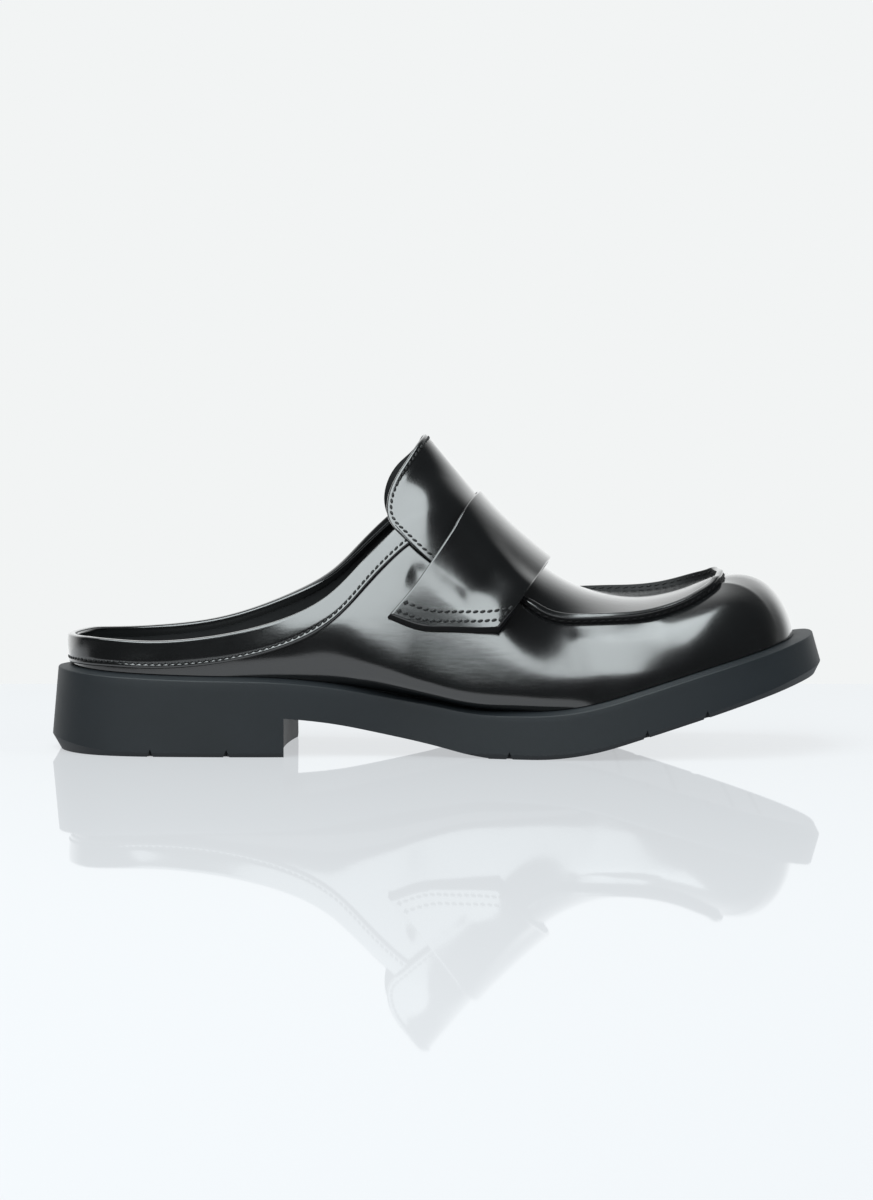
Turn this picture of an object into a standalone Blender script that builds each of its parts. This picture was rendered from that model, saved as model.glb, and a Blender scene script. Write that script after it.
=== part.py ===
# Backless moccasin-toe loafer, right foot, standing on its one-piece rubber sole.
# +X points to the toe, +Y to the inner (medial) side, +Z up, in metres.
# The origin is the middle of the sole's footprint box, on the floor.
# The upper is one leather wall worked out from sections round the last. The apron, tongue,
# saddle strap and collar band are cut from the same surface, each at its own distance.

import math

import bmesh
import bpy
import numpy as np

OBJECT_NAME = "backless_loafer"

# Driving sizes
SOLE_LENGTH = 0.300
BALL_WIDTH = 0.106
SOLE_THICKNESS = 0.0179
TOE_TAPER = 0.0008
HEEL_LIFT = 0.0158
SHANK_THICKNESS = 0.0136
TOE_ANGLE = math.radians(17.5)
INSTEP_RISE = 0.100

# Shelf of the sole outside the upper, and the slope of the sole's side
LEDGE_SIDE = 0.0047
LEDGE_HEEL = 0.0057
LEDGE_TOE = 0.0077
LEDGE_FALL = 0.0013
FLARE_SIDE = 0.0015
FLARE_HEEL = 0.0023
FLARE_TOE = 0.0030
EDGE_SIDE = 0.0012
EDGE_HEEL = 0.0045
EDGE_TOE = 0.0028

# Leather and footbed
UPPER_WALL = 0.0020
COLLAR_LIP = 0.0008
RIM_HEIGHT = 0.0036
RIM_THICKNESS = 0.0026
APRON_THICKNESS = 0.0018
BAND_HEIGHT = 0.0103
BAND_THICKNESS = 0.0012
TONGUE_THICKNESS = 0.0016
STRAP_THICKNESS = 0.0018
INSOLE_THICKNESS = 0.0030
INSOLE_CLEARANCE = 0.0010
GAP = 0.0003

# Tread
BREAST_HOLLOW = 0.0030
BREAST_SKEW = 0.0040
GROOVE_WIDTH = 0.0024
GROOVE_DEPTH = 0.0030

# Where things lie along the sole, as shares of its length from the heel
BREAST_ALONG = 0.305
TREAD_START = 0.573
BEND_START = 0.620
BEND_END = 0.733
TAPER_START = 0.833
TAPER_END = 0.967
HEEL_GROOVES = (0.133, 0.231)
FORE_GROOVES = (0.593, 0.768, 0.845)

# Extra height of the sole behind the ball, as shares of HEEL_LIFT
LIFT_ROWS = (
    # along, share
    (0.000, 1.000),
    (0.070, 0.905),
    (0.147, 0.835),
    (0.223, 0.800),
    (0.277, 0.780),
    (0.327, 0.715),
    (0.377, 0.600),
    (0.427, 0.430),
    (0.477, 0.265),
    (0.505, 0.170),
    (0.530, 0.080),
    (0.560, 0.010),
    (0.600, 0.000),
    (1.000, 0.000),
)

# Stations from heel back to toe tip. Lengths are shares of SOLE_LENGTH from the heel, widths
# shares of BALL_WIDTH from the middle line, and rises shares of INSTEP_RISE over the sole.
# The top is the collar line behind the tongue, and the moccasin seam in front of the strap.
STATION_ROWS = (
    # sole along, lateral, medial, top along, lateral, medial, rise lateral, rise medial
    (0.000, 0.000, 0.000, 0.025, 0.000, 0.000, 0.107, 0.107),
    (0.008, 0.127, 0.127, 0.033, 0.111, 0.111, 0.107, 0.109),
    (0.032, 0.241, 0.236, 0.054, 0.200, 0.200, 0.109, 0.113),
    (0.072, 0.321, 0.316, 0.091, 0.255, 0.255, 0.112, 0.118),
    (0.130, 0.363, 0.358, 0.142, 0.279, 0.277, 0.118, 0.132),
    (0.197, 0.377, 0.373, 0.202, 0.287, 0.283, 0.140, 0.159),
    (0.263, 0.382, 0.368, 0.263, 0.289, 0.283, 0.178, 0.212),
    (0.323, 0.377, 0.354, 0.317, 0.288, 0.281, 0.240, 0.289),
    (0.373, 0.368, 0.330, 0.363, 0.286, 0.277, 0.334, 0.386),
    (0.413, 0.360, 0.313, 0.403, 0.275, 0.268, 0.469, 0.522),
    (0.453, 0.358, 0.307, 0.443, 0.253, 0.249, 0.608, 0.658),
    (0.493, 0.373, 0.316, 0.482, 0.225, 0.226, 0.700, 0.745),
    (0.537, 0.406, 0.349, 0.523, 0.212, 0.217, 0.660, 0.712),
    (0.590, 0.450, 0.410, 0.573, 0.231, 0.236, 0.516, 0.571),
    (0.647, 0.483, 0.467, 0.633, 0.262, 0.257, 0.353, 0.408),
    (0.707, 0.498, 0.498, 0.693, 0.279, 0.264, 0.295, 0.357),
    (0.767, 0.496, 0.498, 0.750, 0.276, 0.260, 0.248, 0.308),
    (0.823, 0.477, 0.481, 0.795, 0.253, 0.240, 0.219, 0.271),
    (0.870, 0.447, 0.462, 0.825, 0.220, 0.217, 0.208, 0.253),
    (0.910, 0.402, 0.427, 0.845, 0.180, 0.181, 0.204, 0.240),
    (0.945, 0.338, 0.375, 0.860, 0.131, 0.138, 0.201, 0.228),
    (0.973, 0.246, 0.298, 0.869, 0.082, 0.092, 0.205, 0.221),
    (0.993, 0.132, 0.190, 0.873, 0.038, 0.049, 0.214, 0.220),
    (1.000, -0.030, 0.030, 0.875, -0.006, 0.006, 0.220, 0.220),
)
TOE = len(STATION_ROWS) - 1

# The instep's highest line from station 9 on, with the tongue's free end before station 11
RIDGE_START = 9
RIDGE_ROWS = (
    # along, towards medial, rise
    (0.442, 0.081, 1.063),
    (0.478, 0.075, 0.962),
    (0.513, 0.061, 0.856),
    (0.549, 0.059, 0.755),
    (0.592, 0.055, 0.636),
    (0.643, 0.049, 0.510),
    (0.695, 0.045, 0.399),
    (0.748, 0.042, 0.316),
    (0.790, 0.040, 0.272),
    (0.819, 0.034, 0.252),
    (0.839, 0.026, 0.242),
    (0.852, 0.018, 0.228),
    (0.860, 0.009, 0.216),
    (0.864, 0.004, 0.213),
    (0.8655, 0.000, 0.2125),
)

# How the wall arrives at its top line: degrees turned inwards from upright, and degrees that
# the section leans forwards
WALL_ANGLE_ROWS = (
    # station, inwards, forwards
    (0, 14, 0),
    (6, 14, 0),
    (9, 18, 4),
    (11, 34, 16),
    (13, 43, 20),
    (15, 50, 10),
    (17, 62, 2),
    (19, 80, 0),
    (21, 98, 0),
    (23, 105, 0),
)
LEAN_SIDE = math.radians(7)
LEAN_HEEL = math.radians(3)
LEAN_TOE = math.radians(-9)
WALL_HANDLE = 0.42
ARCH_HANDLE = 0.40
APRON_SHOULDER = 0.75

# Stations where each form starts and ends
RIM_START = 13.65
RIM_FULL = 14.20
APRON_REAR = 13.00
BAND_END = 10.90
STRAP_DROP = (12.80, 13.95)

# Edges of the saddle strap, from the lateral end over the instep to the medial end. Across is
# the way round from the ridge in shares of BALL_WIDTH, along is in shares of SOLE_LENGTH.
STRAP_ROWS = (
    # rear across, rear along, front across, front along, bow of the line between them
    (-0.822, 0.438, -0.580, 0.579, -0.034),
    (-0.724, 0.455, -0.520, 0.587, -0.012),
    (-0.620, 0.473, -0.455, 0.596, 0.000),
    (-0.525, 0.488, -0.387, 0.605, 0.000),
    (-0.430, 0.503, -0.304, 0.617, 0.000),
    (-0.290, 0.522, -0.202, 0.629, 0.000),
    (-0.145, 0.537, -0.100, 0.637, 0.000),
    (0.000, 0.543, 0.000, 0.640, 0.000),
    (0.145, 0.536, 0.100, 0.630, 0.000),
    (0.290, 0.520, 0.202, 0.616, 0.000),
    (0.430, 0.500, 0.304, 0.601, 0.000),
    (0.525, 0.485, 0.387, 0.591, 0.000),
    (0.620, 0.469, 0.455, 0.585, 0.000),
    (0.715, 0.453, 0.520, 0.579, 0.012),
    (0.805, 0.437, 0.580, 0.571, 0.034),
)
STRAP_LIFT_END = 0.51
STRAP_FLAT_FROM = 0.62

# Outline of the tongue in the same measures: its free end and its front edge under the strap
TONGUE_ROWS = (
    # across, rear along, front along
    (-0.500, 0.512, 0.534),
    (-0.487, 0.483, 0.540),
    (-0.467, 0.459, 0.545),
    (-0.442, 0.443, 0.550),
    (-0.411, 0.437, 0.554),
    (-0.366, 0.437, 0.558),
    (-0.315, 0.441, 0.562),
    (-0.243, 0.450, 0.566),
    (-0.168, 0.461, 0.570),
    (-0.080, 0.472, 0.573),
    (0.000, 0.477, 0.574),
    (0.080, 0.467, 0.573),
    (0.155, 0.451, 0.570),
    (0.232, 0.438, 0.564),
    (0.300, 0.432, 0.557),
    (0.350, 0.434, 0.551),
    (0.395, 0.444, 0.545),
    (0.425, 0.462, 0.540),
    (0.445, 0.487, 0.535),
    (0.455, 0.512, 0.530),
)

# Mesh steps
LOOP_STEPS = 120
WALL_STEPS = 6
INNER_STEPS = 4
BAND_STEPS = 3
SOLE_ROWS = 52
INSOLE_ROWS = 30
APRON_STEPS = 10
FLAP_ROWS = 41
FLAP_STEPS = 6

LEATHER_COLOR = (0.012, 0.012, 0.013, 1.0)
RUBBER_COLOR = (0.035, 0.038, 0.041, 1.0)
LINING_COLOR = (0.030, 0.028, 0.027, 1.0)


def smooth_step(value, low, high):
    share = np.clip((np.asarray(value, float) - low) / (high - low), 0.0, 1.0)
    return share * share * (3.0 - 2.0 * share)


def unit(vectors):
    return vectors / np.linalg.norm(vectors, axis=-1, keepdims=True)


def open_curve(knots, values):
    """Smooth curve through values at the given knots, straight past both ends."""
    knots = np.asarray(knots, float)
    values = np.asarray(values, float).reshape(len(knots), -1)
    steps = np.diff(knots)
    slopes = np.diff(values, axis=0) / steps[:, None]
    matrix = np.eye(len(knots))
    right = np.zeros_like(values)
    for row in range(1, len(knots) - 1):
        matrix[row, row - 1] = steps[row - 1]
        matrix[row, row] = 2.0 * (steps[row - 1] + steps[row])
        matrix[row, row + 1] = steps[row]
        right[row] = 6.0 * (slopes[row] - slopes[row - 1])
    bend = np.linalg.solve(matrix, right)

    def at(where):
        where = np.atleast_1d(np.asarray(where, float))
        cell = np.clip(np.searchsorted(knots, where) - 1, 0, len(steps) - 1)
        step = steps[cell][:, None]
        after = (np.clip(where, knots[0], knots[-1]) - knots[cell])[:, None] / step
        before = 1.0 - after
        curved = (before**3 - before) * bend[cell] + (after**3 - after) * bend[cell + 1]
        return before * values[cell] + after * values[cell + 1] + curved * step**2 / 6.0

    return at


def closed_curve(values):
    """Smooth closed curve through values at whole numbers."""
    values = np.asarray(values, float)
    count = len(values)
    ring = np.eye(count)
    matrix = 4.0 * ring + np.roll(ring, 1, axis=0) + np.roll(ring, -1, axis=0)
    right = 6.0 * (np.roll(values, -1, axis=0) + np.roll(values, 1, axis=0) - 2.0 * values)
    bend = np.linalg.solve(matrix, right)

    def at(where):
        where = np.mod(np.atleast_1d(np.asarray(where, float)), count)
        cell = np.minimum(np.floor(where).astype(int), count - 1)
        following = (cell + 1) % count
        after = (where - cell)[:, None]
        before = 1.0 - after
        curved = (before**3 - before) * bend[cell] + (after**3 - after) * bend[following]
        return before * values[cell] + after * values[following] + curved / 6.0

    return at


def along_to_x(share):
    return (np.asarray(share, float) - 0.5) * SOLE_LENGTH


# Sole levels

lift_curve = open_curve([row[0] for row in LIFT_ROWS], [row[1] for row in LIFT_ROWS])


def spring(x):
    """Height of the tread: flat, then an arc, then a straight slope to the toe."""
    start = along_to_x(BEND_START)
    end = along_to_x(BEND_END)
    slope = math.tan(TOE_ANGLE)
    past = np.clip(x - start, 0.0, end - start)
    return slope * (past**2 / (2.0 * (end - start)) + np.maximum(x - end, 0.0))


def seat_level(x):
    """Height of the sole's top where the upper stands on it."""
    x = np.asarray(x, float)
    share = x / SOLE_LENGTH + 0.5
    lift = HEEL_LIFT * lift_curve(share)[:, 0]
    taper = TOE_TAPER * smooth_step(share, TAPER_START, TAPER_END)
    return spring(x) + SOLE_THICKNESS + lift - taper


# Loops round the shoe: station k on the lateral side, 2 * TOE - k on the medial side


def make_loops():
    lateral = range(TOE + 1)
    medial = range(TOE - 1, 0, -1)
    outline = []
    top = []
    for side, stations in ((-1.0, lateral), (1.0, medial)):
        for station in stations:
            row = STATION_ROWS[station]
            width = row[1] if side < 0 else row[2]
            top_width = row[4] if side < 0 else row[5]
            rise = row[6] if side < 0 else row[7]
            outline.append((along_to_x(row[0]), side * width * BALL_WIDTH))
            top.append((along_to_x(row[3]), side * top_width * BALL_WIDTH, rise * INSTEP_RISE))
    return closed_curve(outline), closed_curve(top), np.array(outline)


outline_curve, top_curve, outline_points = make_loops()
angle_curve = open_curve([r[0] for r in WALL_ANGLE_ROWS], [r[1:] for r in WALL_ANGLE_ROWS])
ridge_curve = open_curve(range(RIDGE_START, TOE + 1), RIDGE_ROWS)


def fold_station(u):
    """Station number of a place on the loop, on either side."""
    u = np.mod(np.asarray(u, float), 2 * TOE)
    return np.minimum(u, 2 * TOE - u)


def outward(curve, u):
    """Unit normals of a loop, level with the floor and pointing away from the foot."""
    step = 1e-3
    way = (curve(u + step) - curve(u - step))[:, :2]
    return unit(np.stack([way[:, 1], -way[:, 0]], axis=1))


def by_direction(normals, side, heel, toe):
    """Blends a side, heel and toe value by where the outline faces."""
    to_toe = np.clip(normals[:, 0], 0.0, 1.0) ** 2
    to_heel = np.clip(-normals[:, 0], 0.0, 1.0) ** 2
    return side + (toe - side) * to_toe + (heel - side) * to_heel


def sole_loop(u, inset):
    """Points of the outline moved inwards, with the outline's normals."""
    normals = outward(outline_curve, u)
    return outline_curve(u) - normals * np.reshape(inset, (-1, 1)), normals


def seat_inset(normals):
    ledge = by_direction(normals, LEDGE_SIDE, LEDGE_HEEL, LEDGE_TOE)
    return ledge + by_direction(normals, FLARE_SIDE, FLARE_HEEL, FLARE_TOE)


def feather(u):
    """Line where the wall stands on the sole."""
    _, normals = sole_loop(u, 0.0)
    points, _ = sole_loop(u, seat_inset(normals))
    return np.column_stack([points, seat_level(points[:, 0]) + GAP]), normals


def top_line(u):
    """Top line of the wall, placed over the sole under it."""
    points = top_curve(u)
    station_x = np.clip(outline_curve(u)[:, 0], *seat_range())
    return np.column_stack([points[:, :2], points[:, 2] + seat_level(station_x) + GAP])


def seat_range():
    heel = along_to_x(0.0) + LEDGE_HEEL + FLARE_HEEL
    toe = along_to_x(1.0) - LEDGE_TOE - FLARE_TOE
    return heel, toe


def arrival(u):
    """Direction in which the wall's surface reaches its top line."""
    angles = np.radians(angle_curve(fold_station(u)))
    inwards = -outward(top_curve, u)
    upright = np.cos(angles[:, 0])
    forwards = upright * np.sin(angles[:, 1])
    across = np.sin(angles[:, 0])
    return unit(
        np.column_stack(
            [
                inwards[:, 0] * across + forwards,
                inwards[:, 1] * across,
                upright * np.cos(angles[:, 1]),
            ]
        )
    )


def wall_surface(u, v):
    """Outer face of the upper: u round the shoe, v from the sole up to the top line."""
    u = np.atleast_1d(np.asarray(u, float))
    v = np.broadcast_to(np.asarray(v, float), u.shape)[:, None]
    start, normals = feather(u)
    end = top_line(u)
    lean = by_direction(normals, LEAN_SIDE, LEAN_HEEL, LEAN_TOE)
    leave = np.column_stack([normals * np.sin(lean)[:, None], np.cos(lean)])
    reach = np.linalg.norm(end - start, axis=1, keepdims=True) * WALL_HANDLE
    first = start + leave * reach
    second = end - arrival(u) * reach
    w = 1.0 - v
    return w**3 * start + 3 * w**2 * v * first + 3 * w * v**2 * second + v**3 * end


def wall_normal(u, v):
    u = np.atleast_1d(np.asarray(u, float))
    v = np.broadcast_to(np.asarray(v, float), u.shape)
    step = 1e-3
    round_way = wall_surface(u + step, v) - wall_surface(u - step, v)
    low = np.clip(v - step, 0.0, 1.0)
    high = np.clip(v + step, 0.0, 1.0)
    up_way = wall_surface(u, high) - wall_surface(u, low)
    return unit(np.cross(round_way, up_way))


def rim_share(u):
    return smooth_step(fold_station(u), RIM_START, RIM_FULL)


def lip_width(u):
    return COLLAR_LIP + (RIM_THICKNESS - COLLAR_LIP) * rim_share(u)


def lip_height(u):
    return RIM_HEIGHT * rim_share(u)


def arch_start(u):
    """Edge of what lies inside the top line: the apron inside the rim, or the arch over it."""
    u = np.atleast_1d(np.asarray(u, float))
    return top_line(u) + arrival(u) * (lip_width(u) + GAP)[:, None]


def ridge(s):
    rows = ridge_curve(s)
    x = along_to_x(rows[:, 0])
    station_x = np.clip(outline_curve(s)[:, 0], *seat_range())
    z = seat_level(station_x) + GAP + rows[:, 2] * INSTEP_RISE
    return np.column_stack([x, rows[:, 1] * BALL_WIDTH, z])


def arch_surface(s, t):
    """Arch between the two top lines: t from -1 lateral over 0 at the ridge to 1 medial."""
    s = np.atleast_1d(np.asarray(s, float))
    t = np.broadcast_to(np.asarray(t, float), s.shape)
    u = np.where(t < 0, s, 2 * TOE - s)
    start = arch_start(u)
    end = ridge(s)
    span = end - start
    level_span = span * (1.0, 1.0, 0.0)
    tight = arrival(u) * np.linalg.norm(span, axis=1, keepdims=True) * ARCH_HANDLE
    flat = level_span * ARCH_HANDLE + span * (0.0, 0.0, APRON_SHOULDER)
    moccasin = smooth_step(s, RIM_START - 0.5, RIM_FULL + 1.0)[:, None]
    first = start + tight + (flat - tight) * moccasin
    across = np.column_stack([np.zeros_like(s), level_span[:, 1], np.zeros_like(s)])
    level_end = across + (level_span - across) * moccasin
    second = end - level_end * ARCH_HANDLE
    v = (1.0 - np.abs(t))[:, None]
    w = 1.0 - v
    return w**3 * start + 3 * w**2 * v * first + 3 * w * v**2 * second + v**3 * end


def arch_normal(s, t):
    s = np.atleast_1d(np.asarray(s, float))
    t = np.broadcast_to(np.asarray(t, float), s.shape)
    step = 1e-3
    s_low = np.clip(s - step, RIDGE_START, TOE - 1e-4)
    s_high = np.clip(s + step, RIDGE_START + 1e-4, TOE)
    t_low = np.clip(t - step, -1.0, 1.0)
    t_high = np.clip(t + step, -1.0, 1.0)
    along_way = arch_surface(s_high, t) - arch_surface(s_low, t)
    across_way = arch_surface(s, t_high) - arch_surface(s, t_low)
    return unit(np.cross(along_way, across_way))


# The arch and the wall as one sheet: station s and the way round from the ridge

SECTION_STEPS = 40


def section(s, side):
    """Points from the ridge down one side to the sole at one station, with their distances."""
    t = np.linspace(0.0, 1.0, SECTION_STEPS)
    stations = np.full(SECTION_STEPS, float(s))
    arch = arch_surface(stations, side * np.maximum(t, 1e-9))
    wall_u = s if side < 0 else 2 * TOE - s
    wall = wall_surface(np.full(SECTION_STEPS, float(wall_u)), 1.0 - t)
    points = np.vstack([arch, wall])
    steps = np.linalg.norm(np.diff(points, axis=0), axis=1)
    return points, np.concatenate([[0.0], np.cumsum(steps)])


def sheet_point(s, across):
    """Point of the sheet at a signed way round from the ridge."""
    points, distance = section(s, -1.0 if across < 0 else 1.0)
    return np.array([np.interp(abs(across), distance, points[:, axis]) for axis in range(3)])


def sheet_normal(s, across):
    step_s = 0.02
    step_g = 0.0006
    along_way = sheet_point(s + step_s, across) - sheet_point(s - step_s, across)
    side = 1.0 if across >= 0 else -1.0
    inner = max(abs(across) - step_g, 1e-6)
    across_way = sheet_point(s, side * (abs(across) + step_g)) - sheet_point(s, side * inner)
    return unit(np.cross(along_way, across_way * side))


def station_at(x, across):
    """Station where the sheet has a given x at a given way round."""
    low = float(RIDGE_START)
    high = TOE - 6.0
    for _ in range(22):
        middle = 0.5 * (low + high)
        if sheet_point(middle, across)[0] < x:
            low = middle
        else:
            high = middle
    return 0.5 * (low + high)


# Meshes


def finish_mesh(name, mesh_data, color, roughness, collection):
    """Turns the faces outwards and gives the piece its material."""
    bmesh.ops.triangulate(mesh_data, faces=mesh_data.faces)
    bmesh.ops.recalc_face_normals(mesh_data, faces=mesh_data.faces)
    mesh = bpy.data.meshes.new(name)
    mesh_data.to_mesh(mesh)
    mesh_data.free()
    mesh.shade_smooth()
    piece = bpy.data.objects.new(name, mesh)
    collection.objects.link(piece)
    material = bpy.data.materials.new(name)
    material.use_nodes = True
    shader = material.node_tree.nodes["Principled BSDF"]
    shader.inputs["Base Color"].default_value = color
    shader.inputs["Roughness"].default_value = roughness
    shader.inputs["Metallic"].default_value = 0.0
    mesh.materials.append(material)
    return piece


def add_face(mesh_data, corners):
    """Face without repeated corners, which a section that closes to a line or point has."""
    corners = list(dict.fromkeys(corners))
    if len(corners) > 2:
        mesh_data.faces.new(corners)


def skin(sections, ring):
    """Skin over closed sections. A ring joins its last section to its first."""
    mesh_data = bmesh.new()
    rows = []
    for section_points in sections:
        welded = {}
        row = []
        for point in section_points:
            place = tuple(np.round(point, 7))
            if place not in welded:
                welded[place] = mesh_data.verts.new(place)
            row.append(welded[place])
        rows.append(row)
    count = len(rows[0])
    last = len(rows) if ring else len(rows) - 1
    for row in range(last):
        here = rows[row]
        there = rows[(row + 1) % len(rows)]
        for place in range(count):
            after = (place + 1) % count
            add_face(mesh_data, (here[place], here[after], there[after], there[place]))
    return mesh_data, rows


def plate(outer, inner):
    """Solid between two sheets of points with the same rows and columns."""
    sections = [list(o) + list(i)[::-1] for o, i in zip(outer, inner)]
    mesh_data, rows = skin(sections, ring=False)
    columns = len(outer[0])
    for row in (rows[0], rows[-1]):
        for place in range(columns - 1):
            facing = 2 * columns - 1 - place
            add_face(mesh_data, (row[place], row[place + 1], row[facing - 1], row[facing]))
    return mesh_data


def make_upper(collection):
    """Vamp and quarters: one wall, closed round the foot, with the moccasin seam's rim."""
    u = np.arange(LOOP_STEPS) * (2.0 * TOE / LOOP_STEPS)
    outer = [wall_surface(u, v) for v in np.linspace(0.0, 1.0, WALL_STEPS + 1)]
    inner = []
    for v in np.linspace(0.0, 1.0, INNER_STEPS + 1):
        inner.append(wall_surface(u, v) - wall_normal(u, v) * UPPER_WALL)
    top = top_line(u)
    normal = wall_normal(u, 1.0)
    inwards = arrival(u) * lip_width(u)[:, None]
    rim = normal * lip_height(u)[:, None]
    soft = 0.25
    profile = outer + [
        top + rim * (1.0 - soft),
        top + rim + inwards * soft,
        top + rim + inwards * (1.0 - soft),
        top + rim * (1.0 - soft) + inwards,
        top - normal * UPPER_WALL + inwards,
    ]
    profile += inner[::-1]
    sections = np.stack(profile, axis=1)
    mesh_data, _ = skin(sections, ring=True)
    finish_mesh("upper", mesh_data, LEATHER_COLOR, 0.15, collection)


def make_apron(collection):
    """Plate inside the rim, from under the strap to the toe."""
    step = 2.0 * TOE / LOOP_STEPS
    stations = np.arange(round(APRON_REAR / step), LOOP_STEPS // 2 + 1) * step
    outer = []
    inner = []
    for s in stations:
        t = np.linspace(-1.0, 1.0, APRON_STEPS + 1)
        row_s = np.full(len(t), s)
        points = arch_surface(row_s, t)
        if s >= TOE:
            points = np.repeat(arch_start(float(TOE)), len(t), axis=0)
            normal = np.repeat(wall_normal(float(TOE), 1.0), len(t), axis=0)
        else:
            edge_u = np.where(t < 0, s, 2 * TOE - s)
            edge = smooth_step(np.abs(t), 0.55, 1.0)[:, None]
            normal = unit(arch_normal(row_s, t) * (1.0 - edge) + wall_normal(edge_u, 1.0) * edge)
        outer.append(points)
        inner.append(points - normal * APRON_THICKNESS)
    finish_mesh("apron", plate(outer, inner), LEATHER_COLOR, 0.15, collection)


def make_band(collection):
    """Collar band on the outside of the wall, all round the back."""
    last = math.floor(BAND_END * LOOP_STEPS / (2 * TOE))
    stations = np.arange(-last, last + 1) * (2.0 * TOE / LOOP_STEPS)
    outer = []
    inner = []
    for place in stations:
        u = np.full(BAND_STEPS + 1, np.mod(place, 2 * TOE))
        v = np.linspace(0.0, 1.0, 60)
        points = wall_surface(np.full(60, u[0]), v)
        distance = np.concatenate([[0.0], np.cumsum(np.linalg.norm(np.diff(points, axis=0), axis=1))])
        low = np.interp(max(distance[-1] - BAND_HEIGHT, 0.0), distance, v)
        heights = np.linspace(low, 1.0, BAND_STEPS + 1)
        base = wall_surface(u, heights)
        normal = wall_normal(u, heights)
        outer.append(base + normal * (GAP + BAND_THICKNESS))
        inner.append(base + normal * GAP)
    finish_mesh("collar_band", plate(outer, inner), LEATHER_COLOR, 0.15, collection)


def flap(rows, offset_at, thickness):
    """Plate over the sheet between a rear and a front edge."""
    edges = open_curve(range(len(rows)), rows)
    outer = []
    inner = []
    for place in np.linspace(0, len(rows) - 1, FLAP_ROWS):
        rear_across, rear_along, front_across, front_along, bow = edges(place)[0]
        share = np.linspace(0.0, 1.0, FLAP_STEPS + 1)
        across = rear_across + (front_across - rear_across) * share + 4.0 * bow * share * (1.0 - share)
        across = across * BALL_WIDTH
        ends = [
            station_at(float(along_to_x(rear_along)), across[0]),
            station_at(float(along_to_x(front_along)), across[-1]),
        ]
        stations = ends[0] + (ends[1] - ends[0]) * share
        points = np.array([sheet_point(s, g) for s, g in zip(stations, across)])
        normals = np.array([sheet_normal(s, g) for s, g in zip(stations, across)])
        offsets = np.array([offset_at(s, g) for s, g in zip(stations, across)])[:, None]
        outer.append(points + normals * (offsets + thickness))
        inner.append(points + normals * offsets)
    return plate(outer, inner)


def tongue_offset(s, across):
    return 2.0 * GAP + BAND_THICKNESS


def make_tongue(collection):
    """Flap over the quarters, its front end under the strap."""
    rows = [(across, rear, across, front, 0.0) for across, rear, front in TONGUE_ROWS]
    mesh_data = flap(rows, tongue_offset, TONGUE_THICKNESS)
    finish_mesh("tongue", mesh_data, LEATHER_COLOR, 0.15, collection)


def strap_offset(s, across):
    """Distance of the strap's underside from the sheet: over the tongue, then on the wall."""
    over_tongue = 3.0 * GAP + BAND_THICKNESS + TONGUE_THICKNESS
    end = smooth_step(abs(across), STRAP_LIFT_END * BALL_WIDTH, STRAP_FLAT_FROM * BALL_WIDTH)
    front = smooth_step(s, *STRAP_DROP)
    return over_tongue + (GAP - over_tongue) * max(float(end), float(front))


def make_strap(collection):
    """Saddle strap over the instep, both ends on the wall."""
    mesh_data = flap(STRAP_ROWS, strap_offset, STRAP_THICKNESS)
    finish_mesh("saddle_strap", mesh_data, LEATHER_COLOR, 0.15, collection)


def make_insole(collection):
    """Footbed inside the wall, on the sole."""
    outer = []
    inner = []
    share = np.linspace(-1.0, 1.0, 5)
    for station in loft_stations(INSOLE_ROWS):
        u = np.array([station, 2 * TOE - station])
        _, normals = sole_loop(u, 0.0)
        points, _ = sole_loop(u, seat_inset(normals) + UPPER_WALL + INSOLE_CLEARANCE)
        blend = 0.5 * (share + 1.0)[:, None]
        row = points[0] * (1.0 - blend) + points[1] * blend
        low = seat_level(row[:, 0]) + GAP
        outer.append(np.column_stack([row, low + INSOLE_THICKNESS]))
        inner.append(np.column_stack([row, low]))
    finish_mesh("insole", plate(outer, inner), LINING_COLOR, 0.6, collection)


def loft_stations(count):
    """Stations from heel back to toe tip, closer together at both round ends."""
    share = np.linspace(0.0, 1.0, count)
    eased = share - 0.5 * np.sin(2.0 * math.pi * share) / (2.0 * math.pi)
    return TOE * eased


def prism_cutter(name, profile, half_width, collection):
    """Cutter across the sole with a side profile of (x, z) points."""
    mesh_data = bmesh.new()
    near = [mesh_data.verts.new((x, -half_width, z)) for x, z in profile]
    far = [mesh_data.verts.new((x, half_width, z)) for x, z in profile]
    mesh_data.faces.new(near)
    mesh_data.faces.new(far[::-1])
    for place in range(len(profile)):
        after = (place + 1) % len(profile)
        mesh_data.faces.new((near[place], far[place], far[after], near[after]))
    return cutter_object(name, mesh_data, collection)


def cutter_object(name, mesh_data, collection):
    bmesh.ops.recalc_face_normals(mesh_data, faces=mesh_data.faces)
    mesh = bpy.data.meshes.new(name)
    mesh_data.to_mesh(mesh)
    mesh_data.free()
    cutter = bpy.data.objects.new(name, mesh)
    collection.objects.link(cutter)
    cutter.hide_render = True
    cutter.display_type = "WIRE"
    return cutter


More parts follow.
